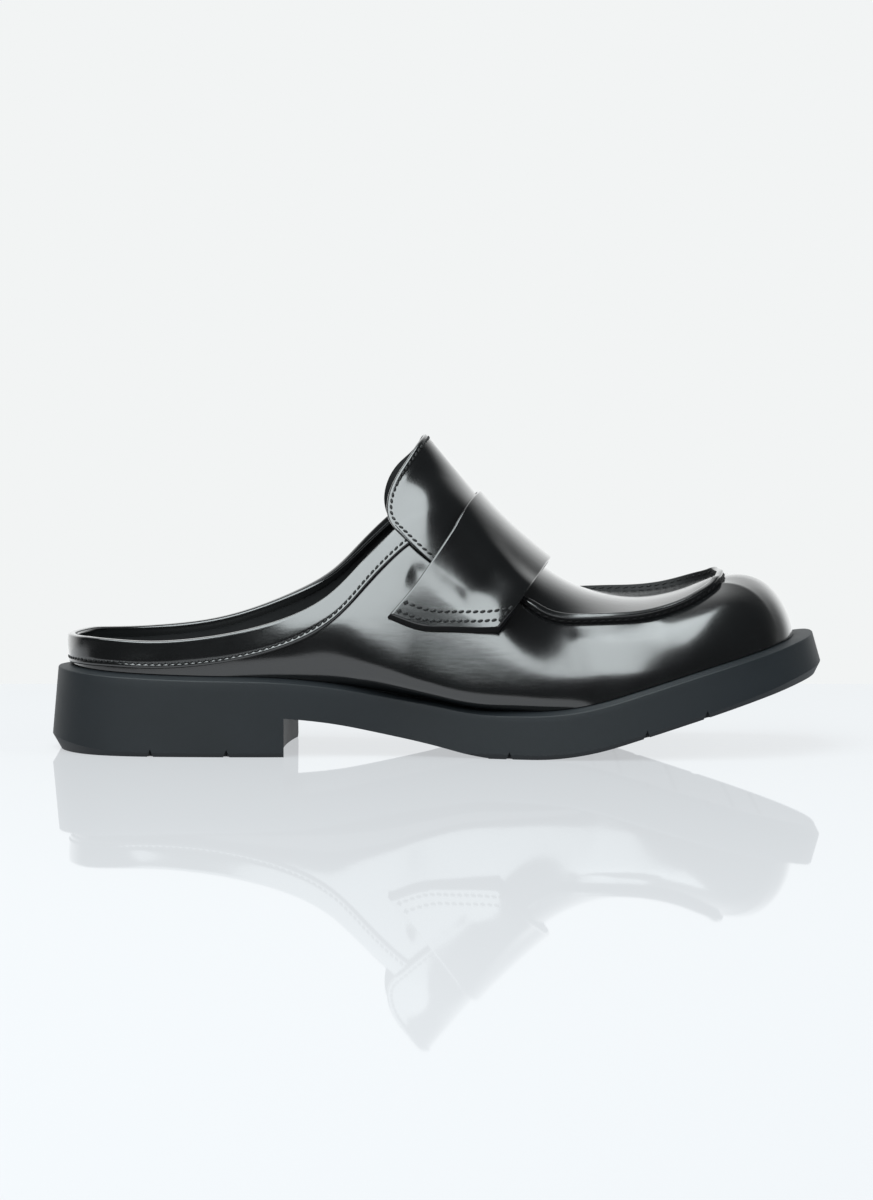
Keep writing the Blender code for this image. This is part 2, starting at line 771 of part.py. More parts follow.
def make_arch_cutter(collection):
    """Space under the shank: behind it the hollow heel breast, above it the shank's underside."""
    breast = float(along_to_x(BREAST_ALONG))
    start = float(along_to_x(TREAD_START))
    x = np.linspace(0.0, 1.0, 12)
    ways = np.linspace(-0.6, 0.6, 9) * BALL_WIDTH
    heel_half = STATION_ROWS[6][1] * BALL_WIDTH
    sections = []
    for y in ways:
        side = np.clip(y / heel_half, -1.3, 1.3)
        rear = breast - BREAST_HOLLOW * (1.0 - min(side * side, 1.0)) + BREAST_SKEW * 0.5 * (side + 1.0)
        along = rear + (start - rear) * x
        thickness = SHANK_THICKNESS + (SOLE_THICKNESS - LEDGE_FALL - SHANK_THICKNESS) * x**2
        under = seat_level(along) - LEDGE_FALL - thickness
        floor = -0.004
        under[-1] = floor
        top = [(a, y, z) for a, z in zip(along, under)]
        sections.append(top + [(rear, y, floor)])
    mesh_data, rows = skin(sections, ring=False)
    mesh_data.faces.new(rows[0])
    mesh_data.faces.new(rows[-1])
    return cutter_object("arch_cutter", mesh_data, collection)


def make_sole(collection, cutters):
    """One-piece rubber unit: heel, shank, forefoot with toe spring, and the shelf round the upper."""
    sections = []
    across = np.linspace(0.0, 1.0, 7)[1:-1]
    for station in loft_stations(SOLE_ROWS):
        u = np.array([station, 2 * TOE - station])
        _, normals = sole_loop(u, 0.0)
        edge = by_direction(normals, EDGE_SIDE, EDGE_HEEL, EDGE_TOE)
        flare = by_direction(normals, FLARE_SIDE, FLARE_HEEL, FLARE_TOE)
        seat = seat_inset(normals)
        rim_round = 0.25 * EDGE_SIDE
        levels = []
        for inset, height in ((edge * 0.75, 0.0), (edge * 0.2, edge * 0.45), (edge * 0.0, edge * 1.3)):
            points, _ = sole_loop(u, inset)
            levels.append(np.column_stack([points, spring(points[:, 0]) + height]))
        for inset, drop in ((flare, LEDGE_FALL + rim_round), (flare + rim_round, LEDGE_FALL), (seat, 0.0)):
            points, _ = sole_loop(u, inset)
            levels.append(np.column_stack([points, seat_level(points[:, 0]) - drop]))
        lateral = [level[0] for level in levels]
        medial = [level[1] for level in levels]
        top = [lateral[-1] + (medial[-1] - lateral[-1]) * share for share in across]
        bottom = [medial[0] + (lateral[0] - medial[0]) * share for share in across]
        sections.append(lateral + top + medial[::-1] + bottom)
    mesh_data, _ = skin(sections, ring=False)
    sole = finish_mesh("unit_sole", mesh_data, RUBBER_COLOR, 0.55, collection)
    tools = [make_arch_cutter(cutters)]
    for number, along in enumerate(HEEL_GROOVES + FORE_GROOVES):
        x = float(along_to_x(along))
        floor = float(spring(np.array([x]))[0])
        half = 0.5 * GROOVE_WIDTH
        profile = [
            (x - half * 1.5, floor - 0.5 * GROOVE_DEPTH),
            (x + half * 1.5, floor - 0.5 * GROOVE_DEPTH),
            (x, floor + GROOVE_DEPTH),
        ]
        tools.append(prism_cutter(f"groove_cutter_{number}", profile, 0.7 * BALL_WIDTH, cutters))
    for tool in tools:
        cut = sole.modifiers.new(tool.name, "BOOLEAN")
        cut.operation = "DIFFERENCE"
        cut.solver = "EXACT"
        cut.object = tool


def main():
    for old in list(bpy.data.objects):
        bpy.data.objects.remove(old, do_unlink=True)
    collection = bpy.data.collections.new(OBJECT_NAME)
    cutters = bpy.data.collections.new("cutters")
    bpy.context.scene.collection.children.link(collection)
    bpy.context.scene.collection.children.link(cutters)
    make_sole(collection, cutters)
    make_insole(collection)
    make_upper(collection)
    make_apron(collection)
    make_band(collection)
    make_tongue(collection)
    make_strap(collection)


main()
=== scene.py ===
# Backless moccasin-toe loafer in polished black leather, a right shoe seen from its outer side.
# Every form is worked out again from the sections round the last, finer than in the frame.
import math

import bmesh
import bpy
import numpy as np
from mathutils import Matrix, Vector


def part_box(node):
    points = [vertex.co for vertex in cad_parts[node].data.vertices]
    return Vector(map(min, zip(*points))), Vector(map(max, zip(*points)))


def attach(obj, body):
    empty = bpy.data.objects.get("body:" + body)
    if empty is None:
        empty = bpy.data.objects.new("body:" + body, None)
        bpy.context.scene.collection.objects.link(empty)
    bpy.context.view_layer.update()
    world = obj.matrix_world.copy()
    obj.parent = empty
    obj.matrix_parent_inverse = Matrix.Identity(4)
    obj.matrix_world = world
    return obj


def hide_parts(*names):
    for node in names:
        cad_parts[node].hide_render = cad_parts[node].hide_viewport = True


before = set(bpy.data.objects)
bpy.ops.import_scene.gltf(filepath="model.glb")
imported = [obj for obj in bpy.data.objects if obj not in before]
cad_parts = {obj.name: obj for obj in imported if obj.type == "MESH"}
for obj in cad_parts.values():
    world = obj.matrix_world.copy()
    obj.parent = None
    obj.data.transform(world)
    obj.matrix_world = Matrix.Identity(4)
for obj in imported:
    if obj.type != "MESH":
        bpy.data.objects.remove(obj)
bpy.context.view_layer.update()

mm = 0.001

soleLow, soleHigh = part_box("unit_sole")
soleLength = soleHigh.x - soleLow.x
ballWidth = soleHigh.y - soleLow.y

lastShape = {
    "instepRise": 100 * mm,  # height that all the rises below are shares of
    "soleThickness": 17.9 * mm,
    "toeTaper": 0.8 * mm,  # how much thinner the sole is at the toe
    "heelLift": 15.8 * mm,
    "toeAngle": math.radians(17.5),  # slope of the tread in front of the ball
    "bend": (0.620, 0.733),  # where the tread turns from flat to that slope
    "taper": (0.833, 0.967),
    "gap": 0.3 * mm,
}

solePlan = {
    "shelf": (4.7 * mm, 5.7 * mm, 7.7 * mm),  # side, heel and toe
    "shelfFall": 1.3 * mm,
    "flare": (1.5 * mm, 2.3 * mm, 3.0 * mm),
    "edge": (1.2 * mm, 4.5 * mm, 2.8 * mm),  # how far the tread is rounded up at its edge
    "lipRadius": 0.7 * mm,
}

leather = {
    "wall": 2.0 * mm,
    "collarLip": 0.8 * mm,
    "rimHeight": 2.9 * mm,
    "rimThickness": 2.6 * mm,
    "apron": 1.8 * mm,
    "bandHeight": 10.3 * mm,
    "band": 1.2 * mm,
    "tongue": 1.6 * mm,
    "strap": 1.8 * mm,
}

# Extra height of the sole behind the ball, as shares of the heel lift
liftRows = (
    (0.000, 1.000), (0.070, 0.905), (0.147, 0.835), (0.223, 0.800), (0.277, 0.780), (0.327, 0.715),
    (0.377, 0.600), (0.427, 0.430), (0.477, 0.265), (0.505, 0.170), (0.530, 0.080), (0.560, 0.010),
    (0.600, 0.000), (1.000, 0.000),
)

# Stations from heel back to toe tip: lengths in shares of the sole, widths in shares of the ball
# width from the middle line, rises in shares of the instep rise over the sole
stationRows = (
    # sole along, lateral, medial, top along, lateral, medial, rise lateral, rise medial
    (0.000, 0.000, 0.000, 0.025, 0.000, 0.000, 0.107, 0.107),
    (0.008, 0.127, 0.127, 0.033, 0.111, 0.111, 0.107, 0.109),
    (0.032, 0.241, 0.236, 0.054, 0.203, 0.203, 0.109, 0.113),
    (0.072, 0.321, 0.316, 0.091, 0.262, 0.260, 0.112, 0.118),
    (0.130, 0.363, 0.358, 0.142, 0.298, 0.294, 0.118, 0.132),
    (0.197, 0.377, 0.373, 0.202, 0.312, 0.306, 0.140, 0.159),
    (0.263, 0.382, 0.368, 0.263, 0.313, 0.302, 0.178, 0.212),
    (0.323, 0.377, 0.354, 0.317, 0.305, 0.290, 0.240, 0.289),
    (0.373, 0.368, 0.330, 0.363, 0.293, 0.275, 0.334, 0.386),
    (0.413, 0.360, 0.313, 0.403, 0.255, 0.246, 0.469, 0.522),
    (0.453, 0.358, 0.307, 0.443, 0.225, 0.224, 0.608, 0.658),
    (0.493, 0.373, 0.316, 0.482, 0.201, 0.206, 0.700, 0.745),
    (0.537, 0.406, 0.349, 0.523, 0.216, 0.215, 0.660, 0.712),
    (0.590, 0.450, 0.410, 0.573, 0.252, 0.248, 0.516, 0.571),
    (0.647, 0.483, 0.467, 0.633, 0.288, 0.268, 0.353, 0.408),
    (0.707, 0.498, 0.498, 0.693, 0.292, 0.268, 0.295, 0.357),
    (0.767, 0.496, 0.498, 0.750, 0.284, 0.262, 0.248, 0.308),
    (0.823, 0.477, 0.481, 0.795, 0.253, 0.240, 0.219, 0.271),
    (0.870, 0.447, 0.462, 0.825, 0.220, 0.217, 0.208, 0.253),
    (0.910, 0.402, 0.427, 0.845, 0.180, 0.181, 0.204, 0.240),
    (0.945, 0.338, 0.375, 0.860, 0.131, 0.138, 0.201, 0.228),
    (0.973, 0.246, 0.298, 0.869, 0.082, 0.092, 0.205, 0.221),
    (0.993, 0.132, 0.190, 0.873, 0.038, 0.049, 0.214, 0.220),
    (1.000, -0.030, 0.030, 0.875, -0.006, 0.006, 0.220, 0.220),
)
toe = len(stationRows) - 1
loop = 2 * toe  # stations once round the shoe: the outer side, then back on the inner side

# The instep's highest line from station 9 on: along, towards medial, rise
ridgeStart = 9
ridgeRows = (
    (0.442, 0.081, 1.063), (0.478, 0.075, 0.962), (0.513, 0.061, 0.856), (0.549, 0.059, 0.755),
    (0.592, 0.055, 0.636), (0.643, 0.049, 0.510), (0.695, 0.045, 0.399), (0.748, 0.042, 0.316),
    (0.790, 0.040, 0.272), (0.819, 0.034, 0.252), (0.839, 0.026, 0.242), (0.852, 0.018, 0.228),
    (0.860, 0.009, 0.216), (0.864, 0.004, 0.213), (0.8655, 0.000, 0.2125),
)

# How the wall arrives at its top line: station, degrees inwards, degrees forwards
angleRows = (
    (0, 5, 0), (4, 5, 0), (6, 7, 0), (8, 18, 2), (9, 26, 5), (11, 36, 12), (13, 43, 12),
    (15, 50, 10), (17, 62, 2), (19, 80, 0), (21, 98, 0), (23, 105, 0),
)

# How the wall leaves the sole: station, degrees outwards
leanRows = (
    (0, 1), (3, 0), (6, 3), (8, 1), (10, -6), (12, -9), (14, -9), (16, -6), (19, -7), (23, -9),
)

# Belly of the leather over the sole's edge: station, how far out and how high it turns, in mm
bellyRows = (
    (0, 0, 6), (6, 1.2, 6), (8, 6.5, 5.5), (9, 11.5, 4.5), (10, 13.5, 3.3), (11, 12.0, 2.6), (12, 9.5, 2.4),
    (13, 6.0, 2.6), (14, 2.5, 3), (15, 0, 4), (23, 0, 4),
)

# How far the wall runs straight from the sole and to its top line: station, shares of its height
handleRows = (
    (0, 0.42, 0.42), (6, 0.42, 0.42), (8, 0.40, 0.32), (9, 0.36, 0.26), (10, 0.34, 0.22), (11, 0.32, 0.20),
    (12, 0.32, 0.20), (13, 0.36, 0.28), (14, 0.42, 0.40), (15, 0.42, 0.42), (23, 0.42, 0.42),
)
archHandle = 0.40
apronShoulder = 0.75
rimStations = (13.20, 13.90)
plugStations = (13.15, 15.20)  # over these the arch turns into the flat plug
apronRear = 13.0
bandEnd = 10.9


def smoothStep(value, low, high):
    share = np.clip((np.asarray(value, float) - low) / (high - low), 0.0, 1.0)
    return share * share * (3.0 - 2.0 * share)


def unit(vectors):
    return vectors / np.maximum(np.linalg.norm(vectors, axis=-1, keepdims=True), 1e-12)


def openCurve(knots, values):
    # smooth curve through the values, straight past both ends
    knots = np.asarray(knots, float)
    values = np.asarray(values, float).reshape(len(knots), -1)
    steps = np.diff(knots)
    slopes = np.diff(values, axis=0) / steps[:, None]
    matrix = np.eye(len(knots))
    right = np.zeros_like(values)
    for row in range(1, len(knots) - 1):
        matrix[row, row - 1] = steps[row - 1]
        matrix[row, row] = 2.0 * (steps[row - 1] + steps[row])
        matrix[row, row + 1] = steps[row]
        right[row] = 6.0 * (slopes[row] - slopes[row - 1])
    bend = np.linalg.solve(matrix, right)

    def at(where):
        where = np.atleast_1d(np.asarray(where, float))
        cell = np.clip(np.searchsorted(knots, where) - 1, 0, len(steps) - 1)
        step = steps[cell][:, None]
        after = (np.clip(where, knots[0], knots[-1]) - knots[cell])[:, None] / step
        before = 1.0 - after
        curved = (before**3 - before) * bend[cell] + (after**3 - after) * bend[cell + 1]
        return before * values[cell] + after * values[cell + 1] + curved * step**2 / 6.0

    return at


def closedCurve(values):
    # smooth closed curve through values at whole numbers
    values = np.asarray(values, float)
    count = len(values)
    ring = np.eye(count)
    matrix = 4.0 * ring + np.roll(ring, 1, axis=0) + np.roll(ring, -1, axis=0)
    right = 6.0 * (np.roll(values, -1, axis=0) + np.roll(values, 1, axis=0) - 2.0 * values)
    bend = np.linalg.solve(matrix, right)

    def at(where):
        where = np.mod(np.atleast_1d(np.asarray(where, float)), count)
        cell = np.minimum(np.floor(where).astype(int), count - 1)
        following = (cell + 1) % count
        after = (where - cell)[:, None]
        before = 1.0 - after
        curved = (before**3 - before) * bend[cell] + (after**3 - after) * bend[following]
        return before * values[cell] + after * values[following] + curved / 6.0

    return at


def alongToX(share):
    return soleLow.x + np.asarray(share, float) * soleLength


def curveOver(rows):
    # smooth curve over rows that each start with their place
    return openCurve([row[0] for row in rows], [row[1:] for row in rows])


liftCurve = curveOver(liftRows)
angleCurve = curveOver(angleRows)
leanCurve = curveOver(leanRows)
bellyCurve = curveOver(bellyRows)
handleCurve = curveOver(handleRows)
ridgeCurve = openCurve(range(ridgeStart, toe + 1), ridgeRows)


def makeLoops():
    outline = []
    top = []
    for side, stations in ((-1.0, range(toe + 1)), (1.0, range(toe - 1, 0, -1))):
        for station in stations:
            row = stationRows[station]
            width, topWidth, rise = (row[1], row[4], row[6]) if side < 0 else (row[2], row[5], row[7])
            outline.append((alongToX(row[0]), side * width * ballWidth))
            top.append((alongToX(row[3]), side * topWidth * ballWidth, rise * lastShape["instepRise"]))
    return closedCurve(outline), closedCurve(top)


outlineCurve, topCurve = makeLoops()


def spring(x):
    # height of the tread: flat, then an arc, then a straight slope to the toe
    start, end = alongToX(lastShape["bend"])
    slope = math.tan(lastShape["toeAngle"])
    past = np.clip(x - start, 0.0, end - start)
    return slope * (past**2 / (2.0 * (end - start)) + np.maximum(x - end, 0.0))


def seatLevel(x):
    # top of the sole, where the upper stands
    share = (np.asarray(x, float) - soleLow.x) / soleLength
    lift = lastShape["heelLift"] * liftCurve(share)[:, 0]
    taper = lastShape["toeTaper"] * smoothStep(share, *lastShape["taper"])
    return spring(x) + lastShape["soleThickness"] + lift - taper


def foldStation(u):
    u = np.mod(np.asarray(u, float), loop)
    return np.minimum(u, loop - u)


def outward(curve, u):
    step = 1e-3
    way = (curve(u + step) - curve(u - step))[:, :2]
    return unit(np.stack([way[:, 1], -way[:, 0]], axis=1))


def byDirection(normals, sideHeelToe):
    side, heel, tip = sideHeelToe
    toToe = np.clip(normals[:, 0], 0.0, 1.0) ** 2
    toHeel = np.clip(-normals[:, 0], 0.0, 1.0) ** 2
    return side + (tip - side) * toToe + (heel - side) * toHeel


def soleLoop(u, inset):
    normals = outward(outlineCurve, u)
    return outlineCurve(u) - normals * np.reshape(inset, (-1, 1)), normals


def soleRing(u, inset, levelAt, rise):
    # ring round the sole, set in from its outline and raised over the level at each point
    points, _ = soleLoop(u, inset)
    return np.column_stack([points, levelAt(points[:, 0]) + rise])


def seatInset(normals):
    return byDirection(normals, solePlan["shelf"]) + byDirection(normals, solePlan["flare"])


def seatRange():
    heel = soleLow.x + solePlan["shelf"][1] + solePlan["flare"][1]
    tip = soleHigh.x - solePlan["shelf"][2] - solePlan["flare"][2]
    return heel, tip


def feather(u):
    # line where the wall stands on the sole
    normals = outward(outlineCurve, u)
    return soleRing(u, seatInset(normals), seatLevel, lastShape["gap"]), normals


def seatUnder(u):
    # where an upper's station stands on the sole, in height
    return seatLevel(np.clip(outlineCurve(u)[:, 0], *seatRange())) + lastShape["gap"]


def topLine(u):
    points = topCurve(u)
    return np.column_stack([points[:, :2], points[:, 2] + seatUnder(u)])


def arrival(u):
    # direction in which the wall's surface reaches its top line
    angles = np.radians(angleCurve(foldStation(u)))
    inwards = -outward(topCurve, u)
    upright = np.cos(angles[:, 0])
    across = np.sin(angles[:, 0])
    forwards = upright * np.sin(angles[:, 1])
    columns = [inwards[:, 0] * across + forwards, inwards[:, 1] * across, upright * np.cos(angles[:, 1])]
    return unit(np.column_stack(columns))


def bezier(start, first, second, end, v):
    w = 1.0 - v
    return w**3 * start + 3 * w**2 * v * first + 3 * w * v**2 * second + v**3 * end


def pairUp(u, v):
    # both as arrays of one shape
    u = np.atleast_1d(np.asarray(u, float))
    return u, np.broadcast_to(np.asarray(v, float), u.shape)


def wallSurface(u, v):
    # outer face of the upper: u round the shoe, v from the sole up to the top line
    u, v = pairUp(u, v)
    folded = foldStation(u)
    start, normals = feather(u)
    end = topLine(u)
    lean = np.radians(leanCurve(folded))
    leave = np.column_stack([normals * np.sin(lean), np.cos(lean)])
    reach = np.linalg.norm(end - start, axis=1, keepdims=True) * handleCurve(folded)
    first = start + leave * reach[:, :1]
    second = end - arrival(u) * reach[:, 1:]
    points = bezier(start, first, second, end, v[:, None])
    far, high = np.maximum(bellyCurve(folded), 0.0).T * mm
    climbed = points[:, 2] - start[:, 2]
    share = climbed / (end[:, 2] - start[:, 2])
    out = far * (1.0 - np.exp(-climbed / (high + 0.1 * mm))) * (1.0 - share)
    points[:, :2] += normals * out[:, None]
    return points


def slopeNormal(surface, u, v, uRange, vRange):
    # normal of a surface, from points a small step away within its ranges
    u, v = pairUp(u, v)
    step = 1e-3
    less, more = np.clip(u - step, *uRange), np.clip(u + step, *uRange)
    below, above = np.clip(v - step, *vRange), np.clip(v + step, *vRange)
    return unit(np.cross(surface(more, v) - surface(less, v), surface(u, above) - surface(u, below)))


def wallNormal(u, v):
    return slopeNormal(wallSurface, u, v, (-np.inf, np.inf), (0.0, 1.0))


def rimShare(u):
    return smoothStep(foldStation(u), *rimStations)


def lipWidth(u):
    return leather["collarLip"] + (leather["rimThickness"] - leather["collarLip"]) * rimShare(u)


def archStart(u):
    u = np.atleast_1d(np.asarray(u, float))
    return topLine(u) + arrival(u) * (lipWidth(u) + lastShape["gap"])[:, None]


def ridge(s):
    rows = ridgeCurve(s)
    z = seatUnder(s) + rows[:, 2] * lastShape["instepRise"]
    return np.column_stack([alongToX(rows[:, 0]), rows[:, 1] * ballWidth, z])


def archSurface(s, t):
    # arch between the two top lines: t from -1 lateral over 0 at the ridge to 1 medial
    s, t = pairUp(s, t)
    u = np.where(t < 0, s, loop - s)
    start = archStart(u)
    end = ridge(s)
    span = end - start
    levelSpan = span * (1.0, 1.0, 0.0)
    tight = arrival(u) * np.linalg.norm(span, axis=1, keepdims=True) * archHandle
    flat = levelSpan * archHandle + span * (0.0, 0.0, apronShoulder)
    moccasin = smoothStep(s, *plugStations)[:, None]
    first = start + tight + (flat - tight) * moccasin
    across = np.column_stack([np.zeros_like(s), levelSpan[:, 1], np.zeros_like(s)])
    levelEnd = across + (levelSpan - across) * moccasin
    return bezier(start, first, end - levelEnd * archHandle, end, (1.0 - np.abs(t))[:, None])


def archNormal(s, t):
    return slopeNormal(archSurface, s, t, (ridgeStart, toe), (-1.0, 1.0))


def wayAlong(points):
    # length of the way to each point of a line
    return np.concatenate([[0.0], np.cumsum(np.linalg.norm(np.diff(points, axis=0), axis=1))])


def readLine(where, knots, points):
    return np.stack([np.interp(where, knots, points[:, axis]) for axis in range(3)], axis=-1)


# The instep as one sheet: x along the shoe, and the way round from the ridge. Tongue and strap
# are laid on it.

sheetGrid = {
    "stations": (9.0, 15.4, 0.04),
    "reach": 94 * mm,
    "acrossStep": 0.5 * mm,
    "x": (-26 * mm, 52 * mm, 0.5 * mm),
}


def makeSheet():
    stations = np.arange(*sheetGrid["stations"])
    across = np.arange(-sheetGrid["reach"], sheetGrid["reach"] + 1e-9, sheetGrid["acrossStep"])
    xs = np.arange(*sheetGrid["x"])
    steps = 60
    t = np.linspace(0.0, 1.0, steps)
    rows = np.zeros((len(stations), len(across), 3))
    seams = {-1.0: [], 1.0: []}
    for index, s in enumerate(stations):
        for side, wanted in ((-1.0, across < 0), (1.0, across >= 0)):
            arch = archSurface(np.full(steps, s), side * np.maximum(t, 1e-9))
            wall = wallSurface(np.full(steps, s if side < 0 else loop - s), 1.0 - t)
            points = np.vstack([arch, wall])
            walked = wayAlong(points)
            seams[side].append((arch[-1, 0], walked[steps - 1]))
            rows[index, wanted] = readLine(np.abs(across[wanted]), walked, points)
    sheet = np.zeros((len(xs), len(across), 3))
    for column in range(len(across)):
        sheet[:, column] = readLine(xs, rows[:, column, 0], rows[:, column])
    normals = unit(np.cross(np.gradient(sheet, axis=0), np.gradient(sheet, axis=1)))
    return xs, across, sheet, normals, seams


sheetX, sheetAcross, sheetPoints, sheetNormals, sheetSeams = makeSheet()


def readSheet(values, x, across):
    # value of a grid over the sheet, between its points
    column = np.clip((x - sheetX[0]) / (sheetX[1] - sheetX[0]), 0, len(sheetX) - 1.001)
    row = (across - sheetAcross[0]) / (sheetAcross[1] - sheetAcross[0])
    row = np.clip(row, 0, len(sheetAcross) - 1.001)
    i, j = column.astype(int), row.astype(int)
    a, b = (column - i)[..., None], (row - j)[..., None]
    low = values[i, j] * (1 - a) + values[i + 1, j] * a
    high = values[i, j + 1] * (1 - a) + values[i + 1, j + 1] * a
    return low * (1 - b) + high * b


print("forms worked out from", soleLength, ballWidth)


# Meshes


def skin(rows, ringRows=False, caps=()):
    # grid of quads over closed rows of points, doubles welded, with caps on the named rows;
    # returns mesh data, its vertices and each face's row and column
    meshData = bmesh.new()
    grid = []
    for line in rows:
        welded = {}
        vertices = []
        for point in line:
            place = tuple(np.round(point, 7))
            if place not in welded:
                welded[place] = meshData.verts.new(place)
            vertices.append(welded[place])
        grid.append(vertices)
    facePlaces = {}
    for row in range(len(grid) if ringRows else len(grid) - 1):
        here, there = grid[row], grid[(row + 1) % len(grid)]
        for column in range(len(here)):
            after = (column + 1) % len(here)
            corners = list(dict.fromkeys((here[column], here[after], there[after], there[column])))
            if len(corners) > 2:
                facePlaces[meshData.faces.new(corners)] = (row, column)
    for row in caps:
        meshData.faces.new(grid[row])
    return meshData, grid, facePlaces


def sheetSections(outer, inner):
    # closed sections from the rows of a sheet's two faces
    return [np.vstack([o, i[::-1]]) for o, i in zip(outer, inner)]


def addObject(name, data):
    thing = bpy.data.objects.new(name, data)
    bpy.context.scene.collection.objects.link(thing)
    return thing


def meshObject(name, meshData):
    mesh = bpy.data.meshes.new(name)
    meshData.to_mesh(mesh)
    meshData.free()
    return addObject(name, mesh)


def solid(name, meshData):
    bmesh.ops.recalc_face_normals(meshData, faces=meshData.faces)
    return meshObject(name, meshData)


def finishMesh(name, meshData, materials, sharpAngle):
    piece = solid(name, meshData)
    for material in materials:
        piece.data.materials.append(material)
    return smoothed(piece, sharpAngle)


def smoothed(piece, sharpAngle):
    piece.data.shade_smooth()
    piece.data.set_sharp_from_angle(angle=math.radians(sharpAngle))
    return piece


def modifiedMesh(thing):
    # mesh of an object with its modifiers applied
    return bpy.data.meshes.new_from_object(thing.evaluated_get(bpy.context.evaluated_depsgraph_get()))


def hand(piece, node):
    # the piece moves with the shoe and takes the place of its CAD node
    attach(piece, "root")
    if node:
        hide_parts(node)


# Materials


def hexColor(code):
    # sRGB hex to linear
    channels = [int(code[place:place + 2], 16) / 255.0 for place in (1, 3, 5)]
    linear = [c / 12.92 if c <= 0.04045 else ((c + 0.055) / 1.055) ** 2.4 for c in channels]
    return (*linear, 1.0)


def setInputs(tree, node, inputs):
    # inputs are values, or output sockets to link
    for key, value in inputs.items():
        if isinstance(value, bpy.types.NodeSocket):
            tree.links.new(value, node.inputs[key])
        else:
            node.inputs[key].default_value = value


def addNode(tree, kind, inputs=None, **settings):
    node = tree.nodes.new(kind)
    for key, value in settings.items():
        setattr(node, key, value)
    setInputs(tree, node, inputs or {})
    return node


def noise(tree, place, size, detail, roughness=0.5):
    inputs = {"Vector": place, "Scale": 1 / size, "Detail": detail, "Roughness": roughness}
    return addNode(tree, "ShaderNodeTexNoise", inputs).outputs["Fac"]


def pebbles(tree, place, size):
    inputs = {"Vector": place, "Scale": 1 / size}
    return addNode(tree, "ShaderNodeTexVoronoi", inputs, feature="SMOOTH_F1").outputs["Distance"]


def tint(tree, share, colors):
    inputs = {0: share, 6: hexColor(colors[0]), 7: hexColor(colors[1])}
    return addNode(tree, "ShaderNodeMix", inputs, data_type="RGBA").outputs[2]


def remap(tree, value, fromRange, toRange, **settings):
    inputs = {"Value": value, "From Min": fromRange[0], "From Max": fromRange[1]}
    inputs.update({"To Min": toRange[0], "To Max": toRange[1]})
    return addNode(tree, "ShaderNodeMapRange", inputs, **settings).outputs["Result"]


def relief(tree, height, depth, strength, under=None):
    # bump of that depth, on top of an earlier one where there is one
    node = addNode(tree, "ShaderNodeBump", {"Height": height, "Distance": depth, "Strength": strength})
    if under is not None:
        tree.links.new(under, node.inputs["Normal"])
    return node.outputs["Normal"]


def newMaterial(name, dressing):
    # dressing makes the nodes from the object's coordinates and returns the shader's inputs
    material = bpy.data.materials.new(name)
    material.use_nodes = True
    tree = material.node_tree
    place = addNode(tree, "ShaderNodeTexCoord").outputs["Object"]
    setInputs(tree, tree.nodes["Principled BSDF"], dressing(tree, place))
    return material


def polishedCalf(tree, place):
    # Brush-polished calf, dyed through and waxed: near-black body, soft wide highlights,
    # a hair-fine pore pattern and slow waves from the last under it
    look = {
        "colors": ("#0b0c0d", "#111213"), "patchSize": 30 * mm, "roughness": (0.15, 0.22),
        "waveSize": 16 * mm, "waveDepth": 0.5 * mm,
        "grainSize": 2.2 * mm, "grainDepth": 0.05 * mm, "grainStretch": (0.35, 1.0, 1.3),
        "poreSize": 0.55 * mm, "poreDepth": 0.012 * mm,
    }
    patches = noise(tree, place, look["patchSize"], 3.0, 0.6)
    stretch = {0: place, 1: look["grainStretch"]}
    stretched = addNode(tree, "ShaderNodeVectorMath", stretch, operation="MULTIPLY").outputs["Vector"]
    waves = relief(tree, noise(tree, place, look["waveSize"], 2.0), look["waveDepth"], 0.35)
    grain = relief(tree, noise(tree, stretched, look["grainSize"], 3.0), look["grainDepth"], 0.6, waves)
    return {
        "Base Color": tint(tree, patches, look["colors"]),
        "Roughness": remap(tree, patches, (0.3, 0.7), look["roughness"]),
        "Normal": relief(tree, pebbles(tree, place, look["poreSize"]), look["poreDepth"], 0.6, grain),
        "IOR": 1.5,
        "Specular IOR Level": 0.7,
        "Coat Weight": 1.0,
        "Coat IOR": 1.6,
        "Coat Roughness": 0.13,
    }


def inkedEdge(tree, place):
    # Cut edge of the leather, inked black and burnished: matt, with fibres along the cut
    look = {"colors": ("#0b0b0c", "#161617"), "fibreSize": 0.7 * mm, "fibreDepth": 0.12 * mm}
    fibres = noise(tree, place, look["fibreSize"], 4.0, 0.7)
    return {
        "Base Color": tint(tree, fibres, look["colors"]),
        "Normal": relief(tree, fibres, look["fibreDepth"], 0.6),
        "Roughness": 0.55,
        "Specular IOR Level": 0.3,
    }


def liningCalf(tree, place):
    # Unpolished black lining calf: soft, low sheen, with a grain that shows
    look = {
        "colors": ("#252627", "#343536"), "patchSize": 18 * mm,
        "grainSize": 0.9 * mm, "grainDepth": 0.06 * mm,
    }
    return {
        "Base Color": tint(tree, noise(tree, place, look["patchSize"], 4.0), look["colors"]),
        "Normal": relief(tree, pebbles(tree, place, look["grainSize"]), look["grainDepth"], 0.7),
        "Roughness": 0.5,
    }


def waxedThread(tree, place):
    # Waxed polyester thread: satin, with the twist of its plies
    look = {"colors": ("#060607", "#101112"), "twistSize": 1.6 * mm, "twistDepth": 0.08 * mm}
    inputs = {"Vector": place, "Scale": 1 / look["twistSize"], "Distortion": 1.0}
    twist = addNode(tree, "ShaderNodeTexWave", inputs, bands_direction="DIAGONAL").outputs["Fac"]
    return {
        "Base Color": tint(tree, twist, look["colors"]),
        "Normal": relief(tree, twist, look["twistDepth"], 0.8),
        "Roughness": 0.5,
    }


